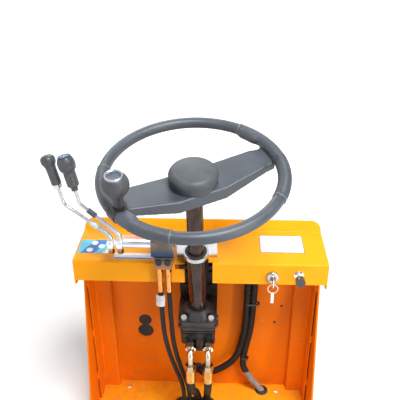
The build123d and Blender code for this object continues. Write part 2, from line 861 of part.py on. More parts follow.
def grip_frame(points):
    """Frame at the foot of a grip, with Z along the rod's end."""
    start, end = Vector(*points[-2]), Vector(*points[-1])
    axis = (end - start).normalized()
    return Plane(origin=end - axis * grip_seat, x_dir=(1, 0, 0) if abs(axis.X) < 0.9 else (0, 1, 0), z_dir=axis)


def turned(line, *arcs):
    """Solid of revolution about Z from an outline of radius and height: a line from the axis, then arcs."""
    edges = [*Polyline(*line).edges()]
    for arc in arcs:
        edges += [*ThreePointArc(*arc).edges()]
    last = arcs[-1][-1]
    edges += [*Polyline(last, (0, last[1]), line[0]).edges()]
    return revolve(Plane.XZ * make_face(edges), Axis.Z)


def right_grip_solid():
    """Stepped handle under a bell-shaped head with a flat top."""
    head, handle, collar = right_head / 2.0, right_handle / 2.0, right_collar / 2.0
    top, brim = right_grip, right_grip - right_brim_drop
    line = [(0, 0), (collar, 0), (collar, right_collar_length), (handle, right_collar_length + right_chamfer),
            (handle, top - right_neck_drop), (head - 2.0, brim)]
    bell = ((head - 2.0, brim), (head, brim + right_brim_drop * 0.42), (cap_dia / 2.0 + 1.0, top))
    solid = turned(line, bell) - rod(rod_dia, grip_seat)
    return grip_frame(right_points()) * solid


def right_cap():
    """Flat disc on the right grip's head."""
    return grip_frame(right_points()) * Pos(0, 0, right_grip) * rod(cap_dia, cap_thick)


def left_grip_solid():
    """Slim handle that flares into a domed head."""
    head, handle, waist = left_head / 2.0, left_handle / 2.0, left_waist / 2.0
    top, brim = left_grip, left_grip - left_brim
    line = [(0, left_nut_length), (handle, left_nut_length), (waist, top - left_flare)]
    flare = ((waist, top - left_flare), ((waist + head) / 2.0 - 1.0, brim - left_flare * 0.2), (head, brim))
    dome = ((head, brim), (head * 0.76, top - left_brim * 0.33), (dome_flat, top))
    solid = turned(line, flare, dome) - rod(rod_dia, grip_seat)
    return grip_frame(left_points()) * solid


def left_nut():
    """Zinc nut under the left grip."""
    return grip_frame(left_points()) * (hexagon(left_nut_af, left_nut_length) - rod(rod_dia, left_nut_length))


def rim_arc(radius, tube_dia, low, high):
    """Part of a ring about the column's axis, between two angles."""
    section = Plane.XZ * (Pos(radius, 0) * Circle(tube_dia / 2.0))
    return Rot(0, 0, low) * revolve(section, Axis.Z, high - low)


def wheel_rim():
    """Round rim with two swollen grip zones and their thumb rests, as one moulding."""
    rim = Torus(rim_radius, rim_dia / 2.0)
    for low, high in grip_arcs:
        rim += rim_arc(rim_radius, rim_dia + 2.0 * grip_swell, low, high)
    for low, high in thumb_turns:
        rim += rim_arc(rim_radius - thumb_inset, rim_dia, low, high)
        for turn in (low, high):
            rim += Rot(0, 0, turn) * Pos(rim_radius - thumb_inset, 0, 0) * Sphere(rim_dia / 2.0)
    return column * rim


def spoke_form(inset):
    """Dished bar of the spokes: plan outline cut with the side outline, both drawn in by the inset."""
    near, far = spoke_near - inset, spoke_far - inset
    near_end, far_end = spoke_near_end - inset, spoke_far_end - inset
    reach = rim_radius
    plan = Polyline((-reach, -near_end), (-spoke_flat, -near), (spoke_flat, -near), (reach, -near_end),
                    (reach, far_end), (spoke_flat, far), (-spoke_flat, far), (-reach, far_end), close=True)
    top, top_end = -spoke_dish - inset, -spoke_end_drop - inset
    low, low_end = -spoke_dish - spoke_depth, -spoke_end_drop - spoke_end_depth
    low, low_end = low - inset, low_end - inset
    side = Polyline((-reach, top_end), (-spoke_rise, top_end), (-spoke_flat, top), (spoke_flat, top),
                    (spoke_rise, top_end), (reach, top_end), (reach, low_end), (spoke_rise, low_end),
                    (spoke_flat, low), (-spoke_flat, low), (-spoke_rise, low_end), (-reach, low_end), close=True)
    tall = Pos(0, 0, low - spoke_depth) * extrude(make_face(plan), 2.0 * spoke_depth - low)
    wide = Pos(0, spoke_far, 0) * extrude(Plane.XZ * make_face(side), spoke_near + spoke_far)
    return tall & wide


def spoke_top(u):
    """Height of the spokes' top face at a distance along them."""
    share = (abs(u) - spoke_flat) / (spoke_rise - spoke_flat)
    return -spoke_dish + (spoke_dish - spoke_end_drop) * min(max(share, 0.0), 1.0)


def wheel_spokes():
    """Moulded spokes, open below like a channel, with the hub's boss; cut to the rim."""
    bar = spoke_form(0.0)
    along = bar.edges().filter_by(lambda edge: abs(edge.tangent_at(0.5).X) > 0.5)
    bar = fillet(along.filter_by(lambda edge: abs(edge.center().Z - spoke_top(edge.center().X)) < spoke_edge),
                 spoke_edge)
    bar -= spoke_form(spoke_wall)
    boss = Pos(0, 0, hub_foot) * rod(hub_boss_dia, -spoke_dish - spoke_wall / 2.0 - hub_foot)
    solid = Rot(0, 0, spoke_turn) * bar + boss
    solid &= Cylinder(rim_radius - spoke_tip, 8.0 * spoke_depth)
    solid -= Pos(0, 0, hub_foot) * rod(shaft_dia, -hub_foot)
    return column * (solid - Torus(rim_radius, rim_dia / 2.0 + grip_swell))


def hub_cap():
    """Domed cap over the hub: a wall that leans out, a round shoulder and a low crown."""
    base = hub_cap_dia / 2.0
    brow, wall = base + hub_cap_lean, hub_cap_wall
    inner, rise = brow - hub_cap_shoulder, wall + hub_cap_shoulder
    top = wall + hub_cap_shoulder + hub_cap_crown
    shoulder = ((brow, wall), (brow - 0.3 * hub_cap_shoulder, wall + 0.7 * hub_cap_shoulder), (inner, rise))
    crown = ((inner, rise), (inner / 2.0, top - 0.25 * hub_cap_crown), (dome_flat, top))
    return column * Pos(0, 0, -spoke_dish) * turned([(0, 0), (base, 0), (brow, wall)], shoulder, crown)


def wheel_shaft():
    """Shaft of the wheel, which turns in the column's bearing."""
    return column * Pos(0, 0, shaft_end) * rod(shaft_dia, -spoke_dish - shaft_end)


def knob_place():
    """Frame at the spinner knob's foot, on the wheel."""
    turn = radians(knob_turn)
    return column * Pos(knob_radius * cos(turn), knob_radius * sin(turn), 0)


def knob_clamp():
    """Clamp on the rim with the knob's pin."""
    turn = radians(knob_turn)
    foot = rod(knob_foot_dia, knob_foot_height)
    pin = Pos(0, 0, knob_foot_height) * rod(knob_pin, knob_ball_height - knob_foot_height)
    shell = Torus(rim_radius, rim_dia / 2.0 + knob_band)
    slice_ = Pos(rim_radius * cos(turn), rim_radius * sin(turn), 0) * Rot(0, 0, knob_turn) * Box(
        2.0 * rim_dia, knob_band_width, 2.0 * rim_dia)
    band = column * (shell & slice_)
    return knob_place() * (foot + pin) + band - wheel_rim() - wheel_spokes()


def knob_ball():
    """Ball of the spinner knob, with a neck and a flat top, bored for its pin."""
    low = knob_foot_height + knob_clear
    ball = Pos(0, 0, knob_ball_height) * Sphere(knob_ball_dia / 2.0)
    neck = Pos(0, 0, low) * rod(knob_neck, knob_ball_height - low)
    solid = ball + neck
    top = knob_ball_height + knob_ball_dia / 2.0 - knob_flat
    solid -= Pos(0, 0, top) * rod(knob_ball_dia, knob_ball_dia)
    solid -= Pos(0, 0, low) * rod(knob_pin + 2.0 * knob_clear, knob_ball_height + knob_clear - low)
    return knob_place() * solid


def knob_disc():
    """Flat disc on top of the spinner knob."""
    top = knob_ball_height + knob_ball_dia / 2.0 - knob_flat
    return knob_place() * Pos(0, 0, top) * rod(knob_disc_dia, knob_disc_thick)


def key_switch():
    """Key switch: bezel in front of the apron, body behind it."""
    frame = Pos(switch_x, apron_y, switch_z) * Rot(90, 0, 0)
    bezel = fillet(rod(switch_bezel, bezel_depth).edges().sort_by(Axis.Z)[-1:], bezel_round)
    body = Pos(0, 0, -switch_body_depth) * rod(switch_body, switch_body_depth)
    return frame * (bezel + body)


def ignition_keys():
    """Key in the switch, seen on edge, with a ring that carries a second key."""
    face = apron_y - bezel_depth
    bow = block((switch_x - key_thick / 2.0, switch_x + key_thick / 2.0), (face - key_reach, face),
                (switch_z - key_sag, switch_z + key_rise))
    ring_z = switch_z - key_sag - key_ring / 2.0 + key_ring_wire
    ring = Pos(switch_x, face - key_reach / 2.0, ring_z) * Rot(90, 0, 0) * Torus(key_ring / 2.0, key_ring_wire / 2.0)
    blade_top = ring_z - key_ring / 2.0 + key_ring_wire
    blade = block((switch_x - key_blade / 2.0, switch_x + key_blade / 2.0),
                  (face - key_reach / 2.0 - key_thick / 2.0, face - key_reach / 2.0 + key_thick / 2.0),
                  (blade_top - key_length, blade_top))
    return bow + ring + blade


def pull_knob():
    """Pull knob on its stem."""
    frame = Pos(knob_x, apron_y, knob_z) * Rot(90, 0, 0)
    stem = Pos(0, 0, -knob_reach) * rod(knob_stem, 2.0 * knob_reach)
    collar = rod(knob_dia, hood_thick)
    return frame * (stem + collar + Pos(0, 0, knob_reach) * rod(knob_dia, knob_depth))


def save(name, shape):
    """Write one piece."""
    solid = Compound(children=list(shape)) if isinstance(shape, list) else shape
    export_step(solid, f"parts/{name}.step")


os.makedirs("parts", exist_ok=True)
save("floor_plate", floor_plate())
save("cheek_left", cheek(-1))
save("cheek_right", cheek(1))
save("back_panel", back_panel())
save("eye_flap", eye_flap())
save("dash_hood", dash_hood())
save("hose_grommet", hose_grommet())
save("column_tube", column_tube())
save("column_flange", column_flange())
save("flange_bolts", flange_bolts())
save("column_clamp", column_clamp())
save("column_bush", column_bush())
save("steering_bracket", steering_bracket())
save("bracket_bolts", bracket_bolts())
save("unit_housing", unit_housing())
save("unit_gear", unit_gear())
save("unit_cover", unit_cover())
save("port_adapters", port_adapters())
save("hose_elbows", hose_elbows())
save("hose_ferrules", hose_ferrules())
save("steering_hose_left", hose("steering_hose_left", left_steering_points(), steer_hose))
save("steering_hose_right", hose("steering_hose_right", right_steering_points(), steer_hose))
save("valve_pedestal", valve_pedestal())
save("valve_body", valve_body())
save("valve_port_block", valve_port_block())
save("valve_fittings", valve_fittings())
save("valve_ferrules", valve_ferrules())
save("valve_hose_left", hose("valve_hose_left", left_valve_points(), valve_hose))
save("valve_hose_right", hose("valve_hose_right", right_valve_points(), valve_hose))
save("loom_inner", hose("loom_inner", inner_loom_points(), loom_dia))
save("loom_outer", hose("loom_outer", outer_loom_points(), loom_dia))
save("loom_clamp", loom_clamp())
save("key_switch", key_switch())
save("ignition_keys", ignition_keys())
save("pull_knob", pull_knob())
save("lever_right_tube", right_tube())
save("lever_right_hub", right_hub())
save("lever_right_rod", lever_rod(right_points(), lever_hub(hub_right_x), right_sleeve))
save("lever_right_grip", right_grip_solid())
save("lever_right_cap", right_cap())
save("lever_left_shaft", left_shaft())
save("lever_left_hub", left_hub())
save("lever_left_rod", lever_rod(left_points(), lever_hub(hub_left_x), left_sleeve))
save("lever_left_grip", left_grip_solid())
save("lever_left_nut", left_nut())
save("wheel_rim", wheel_rim())
save("wheel_spokes", wheel_spokes())
save("hub_cap", hub_cap())
save("wheel_shaft", wheel_shaft())
save("knob_clamp", knob_clamp())
save("knob_ball", knob_ball())
save("knob_disc", knob_disc())
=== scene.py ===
"""Operator's steering console of an articulated mini loader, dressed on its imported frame."""
from math import cos, pi, radians, sin

import bmesh
import bpy
from mathutils import Matrix, Vector


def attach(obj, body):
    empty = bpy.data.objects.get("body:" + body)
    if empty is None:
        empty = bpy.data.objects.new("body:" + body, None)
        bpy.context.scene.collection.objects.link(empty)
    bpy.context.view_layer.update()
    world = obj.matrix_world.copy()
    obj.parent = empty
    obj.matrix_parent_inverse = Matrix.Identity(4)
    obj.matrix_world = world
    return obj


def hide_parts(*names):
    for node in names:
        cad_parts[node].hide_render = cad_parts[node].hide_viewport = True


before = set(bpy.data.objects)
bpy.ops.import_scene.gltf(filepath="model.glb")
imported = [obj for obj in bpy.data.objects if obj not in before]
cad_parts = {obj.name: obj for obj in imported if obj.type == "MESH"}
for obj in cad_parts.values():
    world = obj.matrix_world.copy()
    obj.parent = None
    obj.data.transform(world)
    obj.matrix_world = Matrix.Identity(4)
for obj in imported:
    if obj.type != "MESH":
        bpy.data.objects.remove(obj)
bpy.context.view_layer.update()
scene = bpy.context.scene
scene.view_settings.view_transform = "Standard"


# Operator's eye: a camera behind and above the wheel, looking down on it as a standing person does.
# The console stands on a pale studio floor under a broad lamp, a fill, a tall strip and a rim lamp.
eye = Vector((0.0518, -1.0555, 1.1422))
eye_yaw, eye_pitch, eye_roll = radians(-2.83), radians(25.32), radians(-0.39)
sight = Vector((sin(eye_yaw) * cos(eye_pitch), cos(eye_yaw) * cos(eye_pitch), -sin(eye_pitch)))
level = Vector((cos(eye_yaw), -sin(eye_yaw), 0.0))
raised = level.cross(sight)
across = level * cos(eye_roll) + raised * sin(eye_roll)
upward = raised * cos(eye_roll) - level * sin(eye_roll)
lens = bpy.data.cameras.new("operator_eye")
lens.sensor_fit = "HORIZONTAL"
lens.sensor_width = 36.0
lens.lens = 45.43
lens.clip_start = 0.05
camera = bpy.data.objects.new("operator_eye", lens)
camera.matrix_world = Matrix((across, upward, -sight)).transposed().to_4x4()
camera.matrix_world.translation = eye
scene.collection.objects.link(camera)
scene.camera = camera

lamp_aim = Vector((0.0, -0.05, 0.5))
for lamp_name, power, width, height, spot in (("sky_lamp", 78.0, 0.9, 0.9, (0.55, -1.00, 2.55)),
                                              ("fill_lamp", 7.0, 1.8, 1.8, (-1.9, -1.1, 1.2)),
                                              ("strip_lamp", 8.0, 0.14, 1.3, (1.05, -1.0, 0.75)),
                                              ("rim_lamp", 16.0, 1.2, 1.2, (-0.5, 1.5, 2.0))):
    glow = bpy.data.lights.new(lamp_name, "AREA")
    glow.shape = "RECTANGLE"
    glow.energy, glow.size, glow.size_y = power, width, height
    lamp = bpy.data.objects.new(lamp_name, glow)
    lamp.location = spot
    lamp.rotation_euler = (lamp_aim - Vector(spot)).to_track_quat("-Z", "Y").to_euler()
    lamp.visible_camera = False
    scene.collection.objects.link(lamp)

world = bpy.data.worlds.new("studio")
world.use_nodes = True
scene.world = world
sky_nodes, sky_links = world.node_tree.nodes, world.node_tree.links
rays = sky_nodes.new("ShaderNodeLightPath")
seen = sky_nodes.new("ShaderNodeMath")
mirrored = sky_nodes.new("ShaderNodeMath")
seen.operation = mirrored.operation = "MAXIMUM"
sky_links.new(rays.outputs["Is Glossy Ray"], mirrored.inputs[0])
sky_links.new(rays.outputs["Is Transmission Ray"], mirrored.inputs[1])
sky_links.new(rays.outputs["Is Camera Ray"], seen.inputs[0])
sky_links.new(mirrored.outputs[0], seen.inputs[1])
sky_level = sky_nodes.new("ShaderNodeMapRange")
ambient_level, backdrop_level = 0.22, 1.0
sky_level.inputs["To Min"].default_value = ambient_level
sky_level.inputs["To Max"].default_value = backdrop_level
sky_links.new(seen.outputs[0], sky_level.inputs["Value"])
sky_links.new(sky_level.outputs[0], sky_nodes["Background"].inputs["Strength"])
sky_nodes["Background"].inputs["Color"].default_value = (1.0, 1.0, 1.0, 1.0)


class Finish:
    """One procedural finish: a shader fed by textures on the piece's own coordinates."""

    def __init__(self, name, **sockets):
        self.material = bpy.data.materials.new(name)
        self.material.use_nodes = True
        self.tree = self.material.node_tree
        self.shader = self.tree.nodes["Principled BSDF"]
        self.place = self.tree.nodes.new("ShaderNodeTexCoord").outputs["Object"]
        for socket, value in sockets.items():
            self.shader.inputs[socket.replace("_", " ")].default_value = value

    def node(self, kind, inputs=(), **settings):
        """Shader node, set up and linked."""
        made = self.tree.nodes.new("ShaderNode" + kind)
        for name, value in settings.items():
            setattr(made, name, value)
        for socket, value in dict(inputs).items():
            if isinstance(value, bpy.types.NodeSocket):
                self.tree.links.new(value, made.inputs[socket])
            else:
                made.inputs[socket].default_value = value
        return made

    def spot(self, centre=(0, 0, 0), turn=(0, 0, 0), scale=(1, 1, 1)):
        """Coordinates about a centre, turned and scaled."""
        away = self.node("VectorMath", {0: self.place, 1: centre}, operation="SUBTRACT").outputs[0]
        return self.node("Mapping", {"Vector": away, "Rotation": turn, "Scale": scale}).outputs[0]

    def axis(self, letter):
        """One of the piece's own coordinates."""
        return self.node("SeparateXYZ", {0: self.place}).outputs[letter]

    def noise(self, scale, detail=4.0, place=None, rough=0.55):
        inputs = {"Vector": place or self.place, "Scale": scale, "Detail": detail, "Roughness": rough}
        return self.node("TexNoise", inputs).outputs["Fac"]

    def ramp(self, value, low, high):
        """Colour or level that goes from one stop to another along a value."""
        made = self.node("ValToRGB", {"Fac": value})
        for element, (spot, colour) in zip(made.color_ramp.elements, (low, high)):
            element.position = spot
            element.color = (*colour, 1.0) if isinstance(colour, tuple) else (colour, colour, colour, 1.0)
        return made.outputs["Color"]

    def mix(self, factor, low, high):
        """Colour between two others."""
        low, high = [(*colour, 1.0) if isinstance(colour, tuple) else colour for colour in (low, high)]
        return self.node("Mix", {0: factor, 6: low, 7: high}, data_type="RGBA").outputs[2]

    def math(self, operation, first, second):
        return self.node("Math", {0: first, 1: second}, operation=operation).outputs[0]

    def span(self, value, low, high, start=0.0, end=1.0):
        """Value moved from one range to another and held at its ends."""
        inputs = {"Value": value, "From Min": low, "From Max": high, "To Min": start, "To Max": end}
        return self.node("MapRange", inputs).outputs[0]

    def feed(self, socket, value):
        self.tree.links.new(value, self.shader.inputs[socket])
        return self

    def colour(self, value):
        return self.feed("Base Color", value)

    def rough(self, value, low, high):
        return self.feed("Roughness", self.span(value, 0.25, 0.75, low, high))

    def bump(self, value, distance, strength):
        """Relief on top of any that is there."""
        made = self.node("Bump", {"Height": value, "Distance": distance, "Strength": strength})
        if self.shader.inputs["Normal"].is_linked:
            self.tree.links.new(self.shader.inputs["Normal"].links[0].from_socket, made.inputs["Normal"])
        return self.feed("Normal", made.outputs[0])


floor_white = Finish("studio_floor", Roughness=0.9, Emission_Color=(1.0, 1.0, 1.0, 1.0))
pale = floor_white.noise(3.0, 2.0)
floor_white.colour(floor_white.ramp(pale, (0.3, (0.84, 0.84, 0.83)), (0.7, (0.87, 0.87, 0.865))))
far_away = floor_white.node("VectorMath", {0: floor_white.place}, operation="LENGTH").outputs["Value"]
floor_path = floor_white.node("LightPath").outputs
floor_rays = floor_path["Is Camera Ray"]
for mirror_ray in ("Is Glossy Ray", "Is Transmission Ray"):
    floor_rays = floor_white.math("MAXIMUM", floor_rays, floor_path[mirror_ray])
white_from, white_to = 0.5, 2.4
whitened = floor_white.span(far_away, white_from, white_to, 0.1, 1.0)
floor_white.feed("Emission Strength", floor_white.math("MULTIPLY", floor_rays, whitened))
floor_half, floor_drop = 30.0, 0.0006
ground = bmesh.new()
bmesh.ops.create_grid(ground, x_segments=2, y_segments=2, size=floor_half)
ground_mesh = bpy.data.meshes.new("studio_floor")
ground.to_mesh(ground_mesh)
ground.free()
ground_mesh.materials.append(floor_white.material)
studio_floor = bpy.data.objects.new("studio_floor", ground_mesh)
studio_floor.location.z = -floor_drop
scene.collection.objects.link(studio_floor)


# Cabinet: floor plate, two cheeks, back panel and dash hood, cut and folded from thin steel sheet.
# They are stitch welded, then sprayed orange, and dust lies low down.  Floor plate and hood get a lighter,
# yellower orange as painted light; cheeks and back panel get a deeper, redder orange as painted shade.
def dress(finish, *nodes):
    """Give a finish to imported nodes."""
    for name in nodes:
        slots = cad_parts[name].data.materials
        slots.clear()
        slots.append(finish.material)


def piece(name, mesh, body, *finishes, smooth=35.0):
    """Finished piece from a mesh in the row frame, riding on a body."""
    made = bpy.data.objects.new(name, mesh)
    scene.collection.objects.link(made)
    for finish in finishes[len(mesh.materials):]:
        mesh.materials.append(finish.material)
    mesh.set_sharp_from_angle(angle=radians(smooth))
    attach(made, body)
    return made


def sprayed(name, dark, light):
    """Sprayed paint with dust low down, scuffs and chips."""
    made = Finish(name, Coat_Weight=0.05, Coat_Roughness=0.2, Specular_IOR_Level=0.06)
    fade = made.ramp(made.noise(5.0), (0.32, dark), (0.72, light))
    film = made.noise(38.0, 8.0, rough=0.65)
    low_down = made.span(made.axis("Z"), 0.16, 0.0, 0.02, 0.5)
    settled = made.math("MULTIPLY", low_down, made.ramp(film, (0.42, 0.0), (0.72, 1.0)))
    dusty = made.mix(settled, fade, (0.42, 0.17, 0.045))
    brushing = made.spot(turn=(0.0, 0.0, 0.4), scale=(14.0, 120.0, 60.0))
    scuff = made.ramp(made.noise(1.0, 3.0, brushing), (0.70, 0.0), (0.74, 0.5))
    scuffed = made.mix(scuff, dusty, (0.95, 0.42, 0.08))
    chip = made.ramp(made.noise(150.0, 3.0), (0.742, 0.0), (0.758, 1.0))
    made.colour(made.mix(chip, scuffed, (0.20, 0.06, 0.015)))
    made.rough(film, 0.28, 0.44)
    return made.bump(made.noise(420.0, 2.0), 0.0002, 0.22).bump(made.noise(9.0, 2.0), 0.004, 0.08)


# One orange paint in two tones: this deeper, redder one on cheeks and back panel is painted shade, and the
# lighter, yellower one on floor plate and hood is painted light.
painted_shade_orange = sprayed("orange_paint", (0.87, 0.180, 0.002), (0.94, 0.210, 0.004))
dress(painted_shade_orange, "cheek_left", "cheek_right", "back_panel")
painted_light_orange = sprayed("orange_paint_painted_light", (0.91, 0.335, 0.007), (0.96, 0.375, 0.012))
dress(painted_light_orange, "floor_plate", "dash_hood")


def recipe(name, **sockets):
    """Geometry tree with named inputs, and a maker of linked nodes for it."""
    tree = bpy.data.node_groups.new(name, "GeometryNodeTree")
    tree.interface.new_socket("Mesh", in_out="OUTPUT", socket_type="NodeSocketGeometry")
    for socket, kind in sockets.items():
        tree.interface.new_socket(socket, in_out="INPUT", socket_type="NodeSocket" + kind)
    given = tree.nodes.new("NodeGroupInput").outputs

    def step(kind, inputs=(), **settings):
        made = tree.nodes.new(kind)
        for setting, value in settings.items():
            setattr(made, setting, value)
        for socket, value in dict(inputs).items():
            if isinstance(value, bpy.types.NodeSocket):
                tree.links.new(value, made.inputs[socket])
            else:
                made.inputs[socket].default_value = value
        return made.outputs

    def close(instances):
        """Plain mesh with its finish, to the tree's output."""
        whole = step("GeometryNodeRealizeInstances", {0: instances})[0]
        round_off = step("GeometryNodeSetShadeSmooth", {0: whole})[0]
        painted = step("GeometryNodeSetMaterial", {0: round_off, "Material": given["Finish"]})[0]
        tree.links.new(painted, tree.nodes.new("NodeGroupOutput").inputs[0])
        return tree

    return given, step, close


def grown(tree, **inputs):
    """Plain mesh that a geometry tree gives for these inputs."""
    seed = bpy.data.objects.new("seed", bpy.data.meshes.new("seed"))
    scene.collection.objects.link(seed)
    recipe_step = seed.modifiers.new("recipe", "NODES")
    recipe_step.node_group = tree
    named = {item.name: item.identifier for item in tree.interface.items_tree if item.in_out == "INPUT"}
    for socket, value in inputs.items():
        recipe_step[named[socket]] = value
    ready = seed.evaluated_get(bpy.context.evaluated_depsgraph_get())
    mesh = bpy.data.meshes.new_from_object(ready)
    seed.modifiers.remove(recipe_step)
    bpy.data.objects.remove(seed)
    return mesh


def solid(name, shape):
    """Mesh of a closed shape, with its faces outwards."""
    bmesh.ops.recalc_face_normals(shape, faces=shape.faces[:])
    mesh = bpy.data.meshes.new(name)
    shape.to_mesh(mesh)
    shape.free()
    return mesh


def joined(name, meshes):
    """One mesh of several that share a finish."""
    shape = bmesh.new()
    for mesh in meshes:
        shape.from_mesh(mesh)
    return solid(name, shape)


given, step, close = recipe("stitch_weld", Start="Vector", End="Vector", Beads="Int", Size="Float",
                            Seed="Int", Finish="Material")
puddles = step("GeometryNodeMeshLine", {"Count": given["Beads"], "Start Location": given["Start"],
                                        "Offset": given["End"]}, mode="END_POINTS")
puddle = step("GeometryNodeMeshIcoSphere", {"Radius": given["Size"], "Subdivisions": 2})
swell = step("FunctionNodeRandomValue", {2: 0.8, 3: 1.15, "Seed": given["Seed"]})
bead_row = step("GeometryNodeInstanceOnPoints", {"Points": puddles[0], "Instance": puddle[0],
                                                 "Scale": swell[1]})
stitch_weld = close(bead_row[0])
weld_size, floor_seam = 0.0019, 0.0056
upright_x, upright_y, upright_half = 0.2905, 0.0016, 0.010
cheek_x, cheek_half = 0.2913, 0.012
panel_y, panel_half = 0.0733, 0.015
stitches = []
for side in (-1.0, 1.0):
    for row in (0.090, 0.240, 0.400):
        stitches.append([(side * upright_x, upright_y, row + end) for end in (-upright_half, upright_half)])
    for row in (-0.068, -0.018, 0.032):
        stitches.append([(side * cheek_x, row + end, floor_seam) for end in (-cheek_half, cheek_half)])
for row in (-0.205, -0.075, 0.055, 0.190):
    stitches.append([(row + end, panel_y, floor_seam) for end in (-panel_half, panel_half)])
weld_meshes = [grown(stitch_weld, Start=start, End=end, Size=weld_size, Seed=number, Finish=painted_shade_orange.material,
                     Beads=int((Vector(end) - Vector(start)).length / weld_size))
               for number, (start, end) in enumerate(stitches)]
cabinet_welds = piece("cabinet_welds", joined("cabinet_welds", weld_meshes), "console", painted_shade_orange)

dark_rivet = Finish("dark_rivet", Metallic=0.6)
worn_head = dark_rivet.noise(600.0, 3.0)
dark_rivet.colour(dark_rivet.ramp(worn_head, (0.35, (0.03, 0.022, 0.018)), (0.75, (0.12, 0.08, 0.05))))
dark_rivet.rough(worn_head, 0.35, 0.6)
given, step, close = recipe("blind_rivets", First="Vector", Next="Vector", Rivets="Int", Head="Float",
                            Finish="Material")
rivet_row = step("GeometryNodeMeshLine", {"Count": given["Rivets"], "Start Location": given["First"],
                                          "Offset": given["Next"]}, mode="END_POINTS")
head = step("GeometryNodeMeshUVSphere", {"Segments": 20, "Rings": 12, "Radius": given["Head"]})
flat_head = step("GeometryNodeTransform", {"Geometry": head[0], "Scale": (1.0, 0.5, 1.0)})
rivets = step("GeometryNodeInstanceOnPoints", {"Points": rivet_row[0], "Instance": flat_head[0]})
blind_rivets = close(rivets[0])
rivet_head = 0.0036
# The right-hand pair stands where the back panel shows two dark holes; rivet heads are put there, and their
# near-black colour is painted shade of those holes.
rivet_rows = (((0.2006, 0.0738, 0.2359), (0.2165, 0.0738, 0.2909)),
              ((-0.190, 0.0803, 0.166), (-0.130, 0.0803, 0.166)),
              ((-0.190, 0.0803, 0.259), (-0.130, 0.0803, 0.259)))
rivet_heads = [grown(blind_rivets, First=first, Next=last, Rivets=2, Head=rivet_head,
                     Finish=dark_rivet.material) for first, last in rivet_rows]
piece("panel_rivets", joined("panel_rivets", rivet_heads), "console", dark_rivet)


# Dash labels: coloured vinyl with cut edges, stuck flat on the hood's sloping top.
# A framed card is on the right, and a striped card with plain discs and two strips are by the levers.
def rounded(left, near, right, far, corner=0.002, steps=5):
    """Outline of a card with rounded corners."""
    outline = []
    centres = ((right, far), (left, far), (left, near), (right, near))
    for turn, (x, y), (inward, back) in zip((0, 90, 180, 270), centres, ((-1, -1), (1, -1), (1, 1), (-1, 1))):
        for number in range(steps + 1):
            angle = radians(turn + 90.0 * number / steps)
            outline.append((x + corner * (inward + cos(angle)), y + corner * (back + sin(angle))))
    return outline


def disc(x, y, radius, steps=28):
    """Outline of a round card."""
    turns = [2 * pi * n / steps for n in range(steps)]
    return [(x + radius * cos(turn), y + radius * sin(turn)) for turn in turns]


def cards(name, place, *layers):
    """Mesh of thin cards on a frame: each has an outline, its foot, its thickness and its finish."""
    shape = bmesh.new()
    for outline, foot, thick, finish in layers:
        low = [shape.verts.new(place @ Vector((x, y, foot))) for x, y in outline]
        high = [shape.verts.new(place @ Vector((x, y, foot + thick))) for x, y in outline]
        faces = [shape.faces.new(low[::-1]), shape.faces.new(high)]
        for n in range(len(low)):
            after = (n + 1) % len(low)
            faces.append(shape.faces.new((low[n], low[after], high[after], high[n])))
        for face in faces:
            face.material_index = finish
    return solid(name, shape)


def vinyl(name, dark, light):
    """Gloss coloured vinyl, faded and a little dirty."""
    made = Finish(name, Coat_Weight=0.1, Coat_Roughness=0.25, Specular_IOR_Level=0.2)
    stain = made.noise(60.0, 6.0)
    made.colour(made.ramp(stain, (0.28, dark), (0.55, light)))
    return made.rough(made.noise(240.0, 3.0), 0.32, 0.5).bump(made.noise(90.0, 3.0), 0.0004, 0.15)


white_vinyl = vinyl("white_vinyl", (0.72, 0.71, 0.68), (0.86, 0.86, 0.85))
red_vinyl = vinyl("red_vinyl", (0.50, 0.09, 0.07), (0.66, 0.15, 0.12))
blue_vinyl = vinyl("blue_vinyl", (0.008, 0.11, 0.40), (0.014, 0.17, 0.54))
cyan_vinyl = vinyl("cyan_vinyl", (0.07, 0.44, 0.66), (0.12, 0.56, 0.78))
pink_vinyl = vinyl("pink_vinyl", (0.70, 0.22, 0.16), (0.80, 0.32, 0.25))
dash_slope = radians(7.4)
dash_top = Matrix.Translation((0.0, -0.062, 0.5094)) @ Matrix.Rotation(dash_slope, 4, "X")
film_thick, spot_radius = 0.0003, 0.0078
framed = cards("framed_label", dash_top,
               (rounded(0.143, 0.0434, 0.249, 0.1120), 0.0, film_thick, 0),
               (rounded(0.1452, 0.0456, 0.2468, 0.1098), film_thick, film_thick, 1))
piece("framed_label", framed, "console", red_vinyl, white_vinyl)
striped = [(outline, 0.0, film_thick, colour) for outline, colour in (
    (((-0.294, 0.030), (-0.288, 0.030), (-0.258, 0.081), (-0.294, 0.081)), 1),
    (((-0.288, 0.030), (-0.254, 0.030), (-0.224, 0.081), (-0.258, 0.081)), 0),
    (((-0.254, 0.030), (-0.234, 0.030), (-0.207, 0.0759), (-0.207, 0.081), (-0.224, 0.081)), 1),
    (((-0.234, 0.030), (-0.207, 0.030), (-0.207, 0.0759)), 2))]
for x, y in ((-0.2590, 0.0690), (-0.2660, 0.0420), (-0.2400, 0.0560), (-0.2160, 0.0715)):
    striped.append((disc(x, y, spot_radius), film_thick, film_thick, 2))
striped_card = cards("striped_label", dash_top, *striped)
piece("striped_label", striped_card, "console", blue_vinyl, cyan_vinyl, white_vinyl)
strips = cards("lever_strips", dash_top,
               (rounded(-0.2030, 0.0100, -0.1115, 0.0325), 0.0, film_thick, 0),
               (rounded(-0.2020, 0.0110, -0.1125, 0.0152, 0.0008), film_thick, film_thick, 1),
               (rounded(-0.1960, 0.0590, -0.1100, 0.1020), 0.0, film_thick, 0),
               (rounded(-0.1945, 0.0880, -0.1115, 0.1006, 0.0008), film_thick, film_thick, 2))
piece("lever_strips", strips, "console", white_vinyl, blue_vinyl, pink_vinyl)
